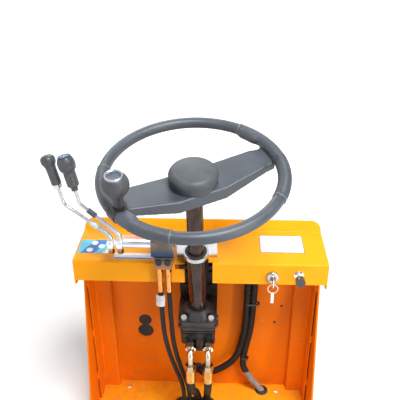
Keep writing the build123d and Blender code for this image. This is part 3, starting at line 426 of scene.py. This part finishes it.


# Rubber trim: a moulded grommet round the hose hole in the floor, the column's bush in its ring, and a black
# sheet behind the figure-8 hole in the back panel as painted shade of the cabinet's inside.  Black rubber
# goes grey with dust.
rubber = Finish("black_rubber", Specular_IOR_Level=0.35)
bloom = rubber.noise(45.0, 6.0)
rubber.colour(rubber.ramp(bloom, (0.35, (0.012, 0.012, 0.012)), (0.78, (0.05, 0.047, 0.043))))
rubber.rough(bloom, 0.55, 0.8).bump(rubber.noise(800.0, 3.0), 0.0003, 0.3)
dress(rubber, "hose_grommet", "eye_flap", "column_bush")


# Steering column: a welded steel tube in gloss black enamel on a cast flange, held at the dash by a zinc
# plated clamp ring.  Its flange bolts are plated; those at the back are coloured near black.
enamel = Finish("gloss_black_tube", Metallic=0.5, Coat_Weight=0.06, Coat_Roughness=0.05, Roughness=0.13,
                Specular_IOR_Level=0.25)
flow = enamel.noise(1.0, 4.0, enamel.spot(scale=(70.0, 70.0, 14.0)))
# The tube's black has a brown tint that is painted reflection of the orange paint round it; the noise gives
# the enamel's own uneven tone.
enamel.colour(enamel.ramp(flow, (0.3, (0.030, 0.018, 0.014)), (0.75, (0.072, 0.046, 0.037))))
enamel.bump(enamel.noise(160.0, 2.0), 0.0004, 0.12)
dress(enamel, "column_tube")
primer = Finish("cast_black_paint", Specular_IOR_Level=0.4)
sand = primer.noise(260.0, 6.0)
primer_dust = primer.noise(22.0, 6.0)
primer.colour(primer.ramp(primer_dust, (0.38, (0.012, 0.012, 0.013)), (0.82, (0.055, 0.050, 0.047))))
primer.rough(sand, 0.26, 0.46).bump(sand, 0.0008, 0.3)
dress(primer, "column_flange")


def plated(name, dark, light, polish, dulled, stain=None):
    """Bright plated steel with faint bands of its bath."""
    made = Finish(name, Metallic=1.0)
    bath = made.noise(24.0, 5.0)
    base = made.ramp(bath, (0.3, dark), (0.7, light))
    if stain:
        base = made.mix(made.ramp(made.noise(55.0, 5.0), (0.50, 0.0), (0.80, 0.6)), base, stain)
    made.colour(base)
    return made.rough(made.noise(60.0, 3.0), polish, dulled).bump(made.noise(45.0, 2.0), 0.0008, 0.06)


zinc = plated("zinc_plate", (0.46, 0.48, 0.51), (0.64, 0.66, 0.69), 0.16, 0.28)
dress(zinc, "column_clamp")
bolt_zinc = Finish("bolt_zinc")
behind = bolt_zinc.span(bolt_zinc.axis("Y"), -0.030, -0.010)
bolt_zinc.colour(bolt_zinc.mix(behind, (0.86, 0.86, 0.85), (0.035, 0.030, 0.028)))
bolt_zinc.feed("Metallic", bolt_zinc.span(behind, 0.0, 1.0, 0.65, 0.4))
bolt_zinc.rough(bolt_zinc.noise(350.0, 4.0), 0.26, 0.42)
dress(bolt_zinc, "flange_bolts")


# Steering bracket: folded plate that carries the column and the steering unit, bolted to the back panel.
# Plate and bolts are sprayed satin black together, and dust lies on them in patches.
satin = Finish("satin_black_paint", Specular_IOR_Level=0.25)
haze = satin.noise(16.0, 6.0)
satin.colour(satin.ramp(haze, (0.35, (0.011, 0.010, 0.010)), (0.80, (0.060, 0.045, 0.036))))
satin.rough(haze, 0.30, 0.52).bump(satin.noise(420.0, 2.0), 0.0003, 0.25)
dress(satin, "steering_bracket", "bracket_bolts")


# Steering unit: a ported cast housing, a turned gear ring and a bolted end cover in black paint.
# Hex adapters and plugs in black oxide are screwed into its ports.
dress(primer, "unit_housing", "unit_gear", "unit_cover")
oxide = plated("black_oxide", (0.030, 0.032, 0.030), (0.075, 0.078, 0.070), 0.24, 0.40, (0.16, 0.13, 0.07))
dress(oxide, "port_adapters")


# Steering hoses: bent steel elbows on the unit's ports, crimped brass ferrules, and wire-braid rubber hose
# that drops through the grommet.  The crimping die leaves raised bands round each ferrule.
elbow_zinc = plated("elbow_zinc", (0.46, 0.38, 0.26), (0.66, 0.59, 0.48), 0.08, 0.18, (0.44, 0.26, 0.09))
dress(elbow_zinc, "hose_elbows")
brass = plated("passivated_brass", (0.60, 0.28, 0.06), (0.80, 0.44, 0.12), 0.10, 0.20, (0.34, 0.13, 0.03))
dress(brass, "hose_ferrules")
given, step, close = recipe("crimp_bands", Top="Vector", Bands="Int", Drop="Vector", Radius="Float",
                            Wire="Float", Finish="Material")
band_row = step("GeometryNodeMeshLine", {"Count": given["Bands"], "Start Location": given["Top"],
                                         "Offset": given["Drop"]}, mode="OFFSET")
hoop = step("GeometryNodeCurvePrimitiveCircle", {"Resolution": 40, "Radius": given["Radius"]})
wire = step("GeometryNodeCurvePrimitiveCircle", {"Resolution": 10, "Radius": given["Wire"]})
flat_wire = step("GeometryNodeTransform", {"Geometry": wire[0], "Scale": (0.6, 1.0, 1.0)})
band = step("GeometryNodeCurveToMesh", {"Curve": hoop[0], "Profile Curve": flat_wire[0]})
bands = step("GeometryNodeInstanceOnPoints", {"Points": band_row[0], "Instance": band[0]})
crimp_bands = close(bands[0])
steer_left, steer_right, steer_y = -0.023, 0.021, -0.0811
crimps = [grown(crimp_bands, Top=(x, steer_y, 0.1985), Bands=6, Drop=(0.0, 0.0, -0.0056), Radius=0.0124,
                Wire=0.0015, Finish=brass.material) for x in (steer_left, steer_right)]
piece("ferrule_crimps", joined("ferrule_crimps", crimps), "console", brass)

hose_cover = Finish("wrapped_hose", Specular_IOR_Level=0.2)
along = hose_cover.node("UVMap").outputs[0]
grime = hose_cover.noise(40.0, 6.0)
hose_cover.colour(hose_cover.ramp(grime, (0.32, (0.007, 0.006, 0.005)), (0.80, (0.030, 0.022, 0.017))))
wrap = hose_cover.node("Mapping", {"Vector": along, "Rotation": (0.0, 0.0, 0.5), "Scale": (46.0, 30.0, 1.0)})
weave = hose_cover.node("TexWave", {"Vector": wrap.outputs[0], "Scale": 1.0, "Distortion": 0.6})
hose_cover.rough(grime, 0.42, 0.68).bump(weave.outputs["Fac"], 0.0004, 0.25)


def hose(node, route, diameter, finish):
    """Hose or loom on its route, one smooth line, in place of its solid tube."""
    line = bpy.data.curves.new(node + "_line", "CURVE")
    line.dimensions = "3D"
    run = line.splines.new("NURBS")
    run.points.add(len(route) - 1)
    for point, spot in zip(run.points, route):
        point.co = (*spot, 1.0)
    run.order_u = 3
    run.use_endpoint_u = True
    run.resolution_u = 14
    line.bevel_depth = diameter / 2.0
    line.bevel_resolution = 7
    line.use_fill_caps = True
    line.materials.append(finish.material)
    made = bpy.data.objects.new(node + "_line", line)
    scene.collection.objects.link(made)
    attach(made, "console")
    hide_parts(node)


steer_hose, steer_length = 0.020, 0.188
hose("steering_hose_left", ((steer_left, steer_y, 0.1656), (steer_left, steer_y, 0.1292),
                            (-0.009, -0.006, 0.0497), (-0.009, -0.006, 0.001)),
     steer_hose, hose_cover)
hose("steering_hose_right", ((steer_right, steer_y, 0.1656), (steer_right, steer_y, 0.1292),
                             (0.016, -0.004, 0.0497), (0.016, -0.004, 0.001)),
     steer_hose, hose_cover)


# Control valve: a zinc plated block on a folded pedestal, with a plastic port block below its near edge.
# Two thin hoses in copper-coloured ferrules drop to the grommet, and a bent card tag is round one of them.
dress(satin, "valve_pedestal")
block_zinc = plated("valve_zinc", (0.10, 0.075, 0.060), (0.20, 0.155, 0.125), 0.18, 0.32)
# The block's lower part is coloured dark blue as a painted sky reflection; its brown upper colour is partly
# yellow zinc and partly painted reflection of the orange paint.
painted_sky_reflection_below = block_zinc.span(block_zinc.axis("Z"), 0.566, 0.546)
painted_reflection_upper = block_zinc.shader.inputs["Base Color"].links[0].from_socket
block_zinc.colour(block_zinc.mix(painted_sky_reflection_below, painted_reflection_upper, (0.034, 0.054, 0.098)))
dress(block_zinc, "valve_body")
port_resin = Finish("port_block_resin", Coat_Weight=0.2, Coat_Roughness=0.3)
resin = port_resin.noise(70.0, 5.0)
tan_side = port_resin.ramp(resin, (0.3, (0.26, 0.105, 0.040)), (0.7, (0.38, 0.17, 0.070)))
sockets_up = port_resin.span(port_resin.axis("Z"), 0.5255, 0.5280)
port_resin.colour(port_resin.mix(sockets_up, tan_side, (0.035, 0.030, 0.032)))
port_resin.rough(resin, 0.34, 0.5).bump(port_resin.noise(500.0, 3.0), 0.0003, 0.2)
dress(port_resin, "valve_port_block")


def turned(name, place, profile, closed=False, steps=56):
    """Mesh turned about the frame's axis; each profile point has a radius, a height and a finish."""
    shape = bmesh.new()
    rings = []
    for radius, height, _ in profile:
        count = steps if radius > 0.0 else 1
        rings.append([shape.verts.new(place @ Vector((radius * cos(2.0 * pi * n / steps),
                                                      radius * sin(2.0 * pi * n / steps), height)))
                      for n in range(count)])
    pairs = list(zip(rings, rings[1:] + rings[:1], profile))
    for ring, after, (_, _, finish) in pairs if closed else pairs[:-1]:
        for n in range(steps):
            corners = [ring[n % len(ring)], ring[(n + 1) % len(ring)], after[(n + 1) % len(after)],
                       after[n % len(after)]]
            shape.faces.new(list(dict.fromkeys(corners))).material_index = finish
    return solid(name, shape)


def upright(origin, axis):
    """Frame at a point with its Z along an axis."""
    return Matrix.Translation(origin) @ Vector(axis).to_track_quat("Z", "Y").to_matrix().to_4x4()


valve_ports, valve_y = (-0.091, -0.071), -0.0755
cap_shape = ((0.0, 0.0, 0), (0.0074, 0.0, 0), (0.0074, 0.0034, 0), (0.0066, 0.0044, 0), (0.0046, 0.0046, 0),
             (0.0042, 0.0036, 0), (0.0, 0.0034, 0))
port_caps = [turned("port_cap", upright((x, -0.0858, 0.5245), (0.0, -1.0, 0.0)), cap_shape)
             for x in valve_ports]
piece("port_caps", joined("port_caps", port_caps), "console", rubber)
copper = plated("copper_flash", (0.60, 0.25, 0.07), (0.78, 0.38, 0.12), 0.10, 0.18)
dress(copper, "valve_ferrules", "valve_fittings")
valve_crimps = [grown(crimp_bands, Top=(x, valve_y, top), Bands=3, Drop=(0.0, 0.0, -0.0042), Radius=0.0065,
                      Wire=0.0011, Finish=copper.material) for x in valve_ports for top in (0.490, 0.452)]
piece("valve_crimps", joined("valve_crimps", valve_crimps), "console", copper)
valve_hose, valve_length = 0.0115, 0.444
hose("valve_hose_left", ((valve_ports[0], valve_y, 0.439), (-0.090, -0.073, 0.336), (-0.083, -0.068, 0.269),
                         (-0.068, -0.058, 0.194), (-0.049, -0.0495, 0.129), (-0.044, -0.042, 0.067),
                         (-0.044, -0.042, 0.001)), valve_hose, hose_cover)
hose("valve_hose_right", ((valve_ports[1], valve_y, 0.439), (-0.069, -0.071, 0.335), (-0.0655, -0.064, 0.266),
                          (-0.053, -0.054, 0.191), (-0.038, -0.0405, 0.127), (-0.030, -0.031, 0.071),
                          (-0.030, -0.031, 0.001)), valve_hose, hose_cover)

tag_card = vinyl("tag_card", (0.40, 0.39, 0.38), (0.62, 0.61, 0.61))
tag_shape = bmesh.new()
tag_bow = ((-0.1025, -0.0772), (-0.0985, -0.0800), (-0.0945, -0.0820), (-0.0905, -0.0826), (-0.0865, -0.0818),
           (-0.0835, -0.0798), (-0.0815, -0.0770))
tag_rows = (0.399, 0.405, 0.411, 0.417, 0.423, 0.430)
tag_middle, tag_lean, tag_curl, tag_thick = 0.414, 0.03, 6.0, 0.0006
tag_grid = [[tag_shape.verts.new((x + tag_lean * (z - tag_middle), y - tag_curl * (z - tag_middle) ** 2, z))
             for x, y in tag_bow] for z in tag_rows]
for lower, upper in zip(tag_grid, tag_grid[1:]):
    for n in range(len(tag_bow) - 1):
        tag_shape.faces.new((lower[n], lower[n + 1], upper[n + 1], upper[n]))
tag_shape.normal_update()
bmesh.ops.solidify(tag_shape, geom=tag_shape.faces[:], thickness=tag_thick)
hose_tag = piece("hose_tag", solid("hose_tag", tag_shape), "console", tag_card, smooth=60.0)


# Wiring looms: two split plastic sleeves side by side from the dash, clipped to the back panel and strapped
# together.  The inner one goes through the panel; the outer one ends in grey conduit in the floor.
def sleeved(name, polish, dull):
    """Ringed black sleeve; gives its finish, its dust and its black."""
    made = Finish(name, Specular_IOR_Level=0.2)
    dust = made.noise(50.0, 6.0)
    black = made.ramp(dust, (0.35, (0.007, 0.006, 0.006)), (0.80, (0.032, 0.020, 0.013)))
    down = made.node("UVMap").outputs[0]
    rings = made.node("Mapping", {"Vector": down, "Scale": (42.0, 0.0, 0.0)}).outputs[0]
    ringed = made.node("TexWave", {"Vector": rings, "Scale": 1.0}).outputs["Fac"]
    made.rough(dust, polish, dull).bump(ringed, 0.0016, 0.7)
    return made.colour(black), dust, black


loom_sleeve, _, _ = sleeved("loom_sleeve", 0.36, 0.6)
conduit, end_dust, black_run = sleeved("loom_with_grey_end", 0.4, 0.62)
grey_end = conduit.span(conduit.axis("Z"), 0.083, 0.079)
grey_run = conduit.ramp(end_dust, (0.35, (0.24, 0.23, 0.22)), (0.75, (0.40, 0.38, 0.35)))
conduit.colour(conduit.mix(grey_end, black_run, grey_run))
dress(rubber, "loom_clamp")
loom, inner_length, outer_length = 0.018, 0.534, 0.533
hose("loom_inner", ((0.1225, 0.046, 0.5194), (0.1225, 0.046, 0.262), (0.1075, 0.0465, 0.170),
                    (0.0945, 0.047, 0.128), (0.0700, 0.0475, 0.099), (0.0305, 0.048, 0.072),
                    (-0.0015, 0.049, 0.063), (-0.0135, 0.077, 0.063)), loom, loom_sleeve)
hose("loom_outer", ((0.1401, 0.046, 0.5194), (0.1401, 0.046, 0.262), (0.1151, 0.047, 0.138),
                    (0.1171, 0.048, 0.078), (0.1731, 0.050, 0.006)), loom, conduit)

nylon = Finish("tie_nylon", Coat_Weight=0.25, Coat_Roughness=0.2)
nylon_haze = nylon.noise(120.0, 4.0)
nylon.colour(nylon.ramp(nylon_haze, (0.3, (0.010, 0.010, 0.010)), (0.7, (0.030, 0.028, 0.027))))
nylon.rough(nylon_haze, 0.3, 0.5)


def loom_tie(name, centre, half_gap, lean, tail, steps=48):
    """Nylon strap round one or two looms, with its head and the end of its tail."""
    shape = bmesh.new()
    place = Matrix.Translation(centre) @ Matrix.Rotation(lean, 4, "Y")
    rows = []
    for radius, height in ((0.0091, -0.0024), (0.0103, -0.0024), (0.0103, 0.0024), (0.0091, 0.0024)):
        loop = []
        for n in range(steps):
            angle = 2.0 * pi * n / steps + pi / steps
            shift = half_gap if cos(angle) > 0.0 else -half_gap
            spot = Vector((shift + radius * cos(angle), radius * sin(angle), height))
            loop.append(shape.verts.new(place @ spot))
        rows.append(loop)
    for row, after in zip(rows, rows[1:] + rows[:1]):
        for n in range(steps):
            shape.faces.new((row[n], row[(n + 1) % steps], after[(n + 1) % steps], after[n]))
    side = half_gap + 0.0100
    for low, high in (((side, -0.0045, -0.0035), (side + 0.0045, 0.0015, 0.0035)),
                      ((side + 0.0006, -0.0045 - tail, -0.0022), (side + 0.0018, -0.0040, 0.0022))):
        block = bmesh.ops.create_cube(shape, size=1.0)["verts"]
        middle, spread = (Vector(low) + Vector(high)) / 2.0, Vector(high) - Vector(low)
        bmesh.ops.scale(shape, vec=spread, verts=block)
        bmesh.ops.translate(shape, vec=middle, verts=block)
        bmesh.ops.transform(shape, matrix=place, verts=block)
    piece(name, solid(name, shape), "console", nylon)


collars = (((-0.0135, 0.0735, 0.063), (0.0, -1.0, 0.0)), ((0.1731, 0.050, 0.0045), (0.0, 0.0, 1.0)))
collar_shape = ((0.0083, -0.0030, 0), (0.0148, -0.0030, 0), (0.0148, 0.0005, 0), (0.0182, 0.0005, 0),
                (0.0182, 0.0022, 0), (0.0168, 0.0036, 0), (0.0105, 0.0052, 0), (0.0083, 0.0050, 0))
loom_collars = [turned("loom_collar", upright(*spot), collar_shape, closed=True) for spot in collars]
piece("loom_collars", joined("loom_collars", loom_collars), "console", rubber)
loom_tie("loom_tie_upper", (0.1313, 0.046, 0.3195), 0.0088, 0.0, 0.012)
loom_tie("loom_tie_lower", (0.1165, 0.047, 0.1330), 0.0, radians(8.0), 0.010)


# Dash switches: a chromed key switch with two keys on a split ring, and a pull knob on a plated stem.
# Both are nutted through the apron; the keys hang from the one in the lock.
nickel = plated("nickel_silver", (0.62, 0.60, 0.56), (0.78, 0.76, 0.72), 0.14, 0.26)
lock_face = plated("key_switch_chrome", (0.40, 0.41, 0.43), (0.58, 0.59, 0.61), 0.10, 0.20)
from_lock = lock_face.spot((0.171, -0.062, 0.476), scale=(1.0, 0.0, 1.0))
lock_reach = lock_face.node("VectorMath", {0: from_lock}, operation="LENGTH").outputs["Value"]
barrel = lock_face.span(lock_reach, 0.0072, 0.0064)
lit_face = lock_face.shader.inputs["Base Color"].links[0].from_socket
lock_face.colour(lock_face.mix(barrel, lit_face, (0.20, 0.12, 0.08)))
dress(lock_face, "key_switch")
dress(nickel, "ignition_keys")
pull = Finish("pull_knob_black", Coat_Weight=0.4, Coat_Roughness=0.12)
stem = pull.span(pull.axis("Y"), -0.0822, -0.0812)
pull_haze = pull.noise(180.0, 4.0)
black_pull = pull.ramp(pull_haze, (0.3, (0.014, 0.012, 0.014)), (0.8, (0.045, 0.034, 0.040)))
pull.colour(pull.mix(stem, black_pull, (0.78, 0.78, 0.80)))
pull.feed("Metallic", stem).rough(pull_haze, 0.16, 0.32)
dress(pull, "pull_knob")


# Valve levers: cranked bright rods clamped in round hubs, one on a tube and one on the shaft inside it.
# Moulded grips are screwed on; tape is wound on both rods, and the right grip has a marked blue cap.
lever_steel = plated("lever_steel", (0.38, 0.38, 0.385), (0.51, 0.51, 0.505), 0.24, 0.38)
dress(lever_steel, "lever_right_rod", "lever_left_rod")
pivot_zinc = plated("pivot_zinc", (0.52, 0.56, 0.62), (0.74, 0.77, 0.81), 0.12, 0.24)
dress(pivot_zinc, "lever_right_tube", "lever_left_shaft")
hub_chrome = plated("hub_chrome", (0.70, 0.71, 0.73), (0.82, 0.83, 0.85), 0.08, 0.20)
nut_down = hub_chrome.span(hub_chrome.axis("Z"), 0.5460, 0.5445)
bright_hub = hub_chrome.shader.inputs["Base Color"].links[0].from_socket
rust = hub_chrome.ramp(hub_chrome.noise(300.0, 5.0), (0.35, (0.18, 0.07, 0.03)), (0.7, (0.42, 0.22, 0.12)))
hub_chrome.colour(hub_chrome.mix(nut_down, bright_hub, rust))
dress(hub_chrome, "lever_right_hub", "lever_left_hub")
dress(zinc, "lever_left_nut")
grip_black = Finish("grip_black", Specular_IOR_Level=0.45)
grip_haze = grip_black.noise(90.0, 4.0)
grip_black.colour(grip_black.ramp(grip_haze, (0.3, (0.038, 0.042, 0.048)), (0.8, (0.068, 0.073, 0.080))))
grip_black.rough(grip_haze, 0.28, 0.40).bump(grip_black.noise(900.0, 2.0), 0.0002, 0.2)
dress(grip_black, "lever_right_grip")
left_axis = Vector((-0.232899, 0.035022, 0.97187))
left_foot = upright((-0.308574, -0.059560, 0.69595), left_axis)
left_profile = ((0.0, 0.0085, 0), (0.0104, 0.0085, 0), (0.0110, 0.0093, 0), (0.0111, 0.0120, 0),
                (0.0111, 0.0420, 0), (0.0114, 0.0470, 0), (0.0124, 0.0515, 0), (0.0140, 0.0550, 0),
                (0.0156, 0.0582, 0), (0.0162, 0.0615, 0), (0.0163, 0.0650, 0), (0.0157, 0.0686, 0),
                (0.0141, 0.0719, 0), (0.0112, 0.0743, 0), (0.0072, 0.0757, 0), (0.0030, 0.0760, 0),
                (0.0, 0.0760, 0))
left_grip = piece("domed_grip", turned("domed_grip", left_foot, left_profile), "lever_left", grip_black,
                  smooth=50.0)
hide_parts("lever_left_grip")

black_tape = Finish("black_tape", Coat_Weight=0.2, Coat_Roughness=0.3)
tape_wear = black_tape.noise(220.0, 4.0)
black_tape.colour(black_tape.ramp(tape_wear, (0.3, (0.030, 0.036, 0.055)), (0.8, (0.060, 0.070, 0.098))))
black_tape.rough(tape_wear, 0.36, 0.55)
blue_tape = vinyl("blue_tape", (0.46, 0.58, 0.72), (0.62, 0.73, 0.84))
for tape_name, foot, top, start, end, body, tape in (
        ("right_lever_tape", (-0.181, -0.064, 0.583), (-0.262, -0.069, 0.662), 0.60, 0.80, "lever_right",
         black_tape),
        ("left_lever_tape", (-0.202, -0.064, 0.579), (-0.299, -0.061, 0.656), 0.28, 0.44, "lever_left",
         blue_tape)):
    run = Vector(top) - Vector(foot)
    wound = run.length * (end - start)
    lap = ((0.0038, 0.0, 0), (0.0060, 0.0002, 0), (0.0063, 0.0008, 0), (0.0063, wound * 0.5, 0),
           (0.0061, wound * 0.5 + 0.0004, 0), (0.0061, wound - 0.0006, 0), (0.0058, wound, 0),
           (0.0038, wound, 0))
    tape_mesh = turned(tape_name, upright(Vector(foot) + run * start, run), lap, closed=True)
    piece(tape_name, tape_mesh, body, tape)

badge_blue = Finish("blue_cap", Specular_IOR_Level=0.3)
cap_haze = badge_blue.noise(160.0, 4.0)
badge_blue.colour(badge_blue.ramp(cap_haze, (0.3, (0.014, 0.034, 0.105)), (0.75, (0.026, 0.058, 0.160))))
badge_blue.rough(cap_haze, 0.2, 0.36)
dress(badge_blue, "lever_right_cap")
cap_axis = Vector((-0.186329, -0.020253, 0.982279))
cap_height, mark_thick, dot_radius = 0.0805, 0.0003, 0.0013
cap_top = upright(Vector((-0.268219, -0.069676, 0.694784)) + cap_axis * cap_height, cap_axis)
arrow = ((-0.0017, 0.0048), (0.0017, 0.0048), (0.0, 0.0084))
marks = [[(x * cos(turn) - y * sin(turn), x * sin(turn) + y * cos(turn)) for x, y in arrow]
         for turn in (0.0, pi / 2.0, pi, 1.5 * pi)] + [disc(0.0, 0.0, dot_radius)]
cap_marks = cards("lever_cap_marks", cap_top, *((mark, 0.0, mark_thick, 0) for mark in marks))
piece("lever_cap_marks", cap_marks, "lever_right", white_vinyl)


# Steering wheel: a steel core moulded in charcoal foam, with swelled and ribbed grips at two sides, dished
# spokes and a snapped-on hub cap.  The splined shaft below goes down the column.
wheel_tilt, spoke_turn, rim_radius = radians(16.45), radians(27.4), 0.178
wheel_place = Matrix.Translation((-0.0065, -0.1413, 0.7678)) @ Matrix.Rotation(wheel_tilt, 4, "X")
foam = Finish("wheel_foam", Specular_IOR_Level=0.5, Sheen_Weight=0.12, Sheen_Roughness=0.4)
rubbed = foam.noise(14.0, 5.0)
foam.colour(foam.ramp(rubbed, (0.32, (0.034, 0.042, 0.054)), (0.78, (0.064, 0.076, 0.094))))
pebble = foam.node("TexVoronoi", {"Vector": foam.place, "Scale": 900.0}).outputs["Distance"]
foam.rough(rubbed, 0.36, 0.52).bump(pebble, 0.0003, 0.3)
moulding = bmesh.new()
for node in ("wheel_rim", "wheel_spokes"):
    moulding.from_mesh(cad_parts[node].data)
bmesh.ops.remove_doubles(moulding, verts=moulding.verts[:], dist=0.00002)
raw_wheel = bpy.data.objects.new("raw_wheel", solid("raw_wheel", moulding))
scene.collection.objects.link(raw_wheel)
remesh = raw_wheel.modifiers.new("mould", "REMESH")
mould_grain = 0.0015
remesh.mode, remesh.voxel_size = "VOXEL", mould_grain
bpy.context.view_layer.update()
moulded = bpy.data.meshes.new_from_object(raw_wheel.evaluated_get(bpy.context.evaluated_depsgraph_get()))
bpy.data.objects.remove(raw_wheel)
moulding = bmesh.new()
moulding.from_mesh(moulded)
spoke_line = Vector((cos(spoke_turn), sin(spoke_turn)))
root_from, root_to, root_spread = 0.148, 0.176, 0.30
roots = []
for vert in moulding.verts:
    local = wheel_place.inverted() @ vert.co
    if root_from < local.xy.length < root_to and abs(sin(local.xy.angle_signed(spoke_line))) < root_spread:
        roots.append(vert)
root_passes, skin_passes = 36, 9
for verts, passes in ((roots, root_passes), (moulding.verts[:], skin_passes)):
    for _ in range(passes):
        bmesh.ops.smooth_vert(moulding, verts=verts, factor=0.5, use_axis_x=True, use_axis_y=True,
                              use_axis_z=True)
moulded_wheel = piece("moulded_wheel", solid("moulded_wheel", moulding), "steering_wheel", foam, smooth=80.0)
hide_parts("wheel_rim", "wheel_spokes")
cap_foam = Finish("hub_cap_plastic", Specular_IOR_Level=0.4)
cap_rub = cap_foam.noise(30.0, 5.0)
cap_foam.colour(cap_foam.ramp(cap_rub, (0.32, (0.045, 0.052, 0.060)), (0.78, (0.082, 0.090, 0.100))))
cap_foam.rough(cap_rub, 0.45, 0.62).bump(cap_foam.noise(1100.0, 2.0), 0.0003, 0.3)
dress(cap_foam, "hub_cap")
dress(zinc, "wheel_shaft")
given, step, close = recipe("grip_ribs", Start="Float", Sweep="Float", Ribs="Int", Wheel="Float",
                            Grip="Float", Wire="Float", Finish="Material")
arc = step("GeometryNodeCurveArc", {"Resolution": given["Ribs"], "Radius": given["Wheel"],
                                    "Start Angle": given["Start"], "Sweep Angle": given["Sweep"]},
           mode="RADIUS")
stations = step("GeometryNodeCurveToPoints", {"Curve": arc[0]}, mode="EVALUATED")
girth = step("GeometryNodeCurvePrimitiveCircle", {"Resolution": 28, "Radius": given["Grip"]})
rib_wire = step("GeometryNodeCurvePrimitiveCircle", {"Resolution": 8, "Radius": given["Wire"]})
rib = step("GeometryNodeCurveToMesh", {"Curve": girth[0], "Profile Curve": rib_wire[0]})
ribs = step("GeometryNodeInstanceOnPoints", {"Points": stations[0], "Instance": rib[0],
                                             "Rotation": stations["Rotation"]})
grip_ribs = close(ribs[0])
rib_grip, rib_size, seam_grip, seam_size = 0.0123, 0.0013, 0.0128, 0.0008
rib_sets = [grown(grip_ribs, Start=radians(start), Sweep=radians(end - start), Ribs=count, Wheel=rim_radius,
                  Grip=rib_grip, Wire=rib_size, Finish=foam.material)
            for start, end, count in ((236.0, 259.2, 19), (-22.0, 16.0, 31))]
rib_mesh = joined("grip_ribs", rib_sets)
rib_mesh.transform(wheel_place)
piece("grip_ribs", rib_mesh, "steering_wheel", foam)
seam_rubber = Finish("seam_rubber")
seam_haze = seam_rubber.noise(200.0)
seam_rubber.colour(seam_rubber.ramp(seam_haze, (0.3, (0.09, 0.10, 0.11)), (0.7, (0.15, 0.16, 0.17))))
seam_rubber.rough(seam_rubber.noise(90.0), 0.4, 0.6)
seams = [grown(grip_ribs, Start=radians(turn), Sweep=radians(0.3), Ribs=2, Wheel=rim_radius, Grip=seam_grip,
               Wire=seam_size, Finish=seam_rubber.material) for turn in (-24.6, 58.0, 178.0, 260.5)]
seam_mesh = joined("grip_seams", seams)
seam_mesh.transform(wheel_place)
piece("grip_seams", seam_mesh, "steering_wheel", seam_rubber)


# Spinner knob: a moulded ball on a pin, clamped to the rim, with a pressed metal badge let into its top.
# The badge is a plain dished disc inside a bright rolled ring.
dress(primer, "knob_clamp")
knob_black = Finish("knob_black", Specular_IOR_Level=0.45)
knob_rub = knob_black.noise(60.0, 4.0)
knob_black.colour(knob_black.ramp(knob_rub, (0.3, (0.030, 0.033, 0.037)), (0.8, (0.060, 0.064, 0.070))))
knob_black.rough(knob_rub, 0.36, 0.5).bump(knob_black.noise(900.0, 2.0), 0.0002, 0.2)
badge_ring = plated("badge_ring", (0.30, 0.32, 0.34), (0.42, 0.44, 0.46), 0.20, 0.32)
badge_dish = Finish("badge_dish", Specular_IOR_Level=0.3)
dish_rub = badge_dish.noise(140.0, 4.0)
badge_dish.colour(badge_dish.ramp(dish_rub, (0.3, (0.040, 0.055, 0.078)), (0.8, (0.085, 0.105, 0.140))))
badge_dish.rough(dish_rub, 0.25, 0.4)
knob_place = Matrix.Translation((-0.132977, -0.251674, 0.735210)) @ Matrix.Rotation(wheel_tilt, 4, "X")
ball_radius, ball_height, ball_top, badge_seat = 0.0252, 0.0644, 0.0830, 0.0168
neck_radius, neck_foot, pin_bore, pin_top = 0.0105, 0.0163, 0.0053, 0.0613
ball_profile = [(0.0, pin_top, 0), (pin_bore, pin_top, 0), (pin_bore, neck_foot, 0),
                (neck_radius, neck_foot, 0)]
for angle in map(radians, range(-65, 46, 5)):
    ball_profile.append((ball_radius * cos(angle), ball_height + ball_radius * sin(angle), 0))
ball_profile += [(badge_seat, ball_top, 0), (0.0, ball_top, 0)]
round_knob = piece("round_knob", turned("round_knob", knob_place, ball_profile), "spinner_knob", knob_black,
                   smooth=40.0)
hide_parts("knob_ball")
badge_profile = ((0.0, 0.0831, 0), (0.0165, 0.0831, 0), (0.0165, 0.0850, 0), (0.0160, 0.0857, 0),
                 (0.0152, 0.0860, 0), (0.0143, 0.0858, 0), (0.0136, 0.0851, 0), (0.0130, 0.0843, 1),
                 (0.0100, 0.0839, 1), (0.0050, 0.0836, 1), (0.0, 0.0835, 1))
knob_badge = piece("knob_badge", turned("knob_badge", knob_place, badge_profile), "spinner_knob", badge_ring,
                   badge_dish, smooth=60.0)
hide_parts("knob_disc")
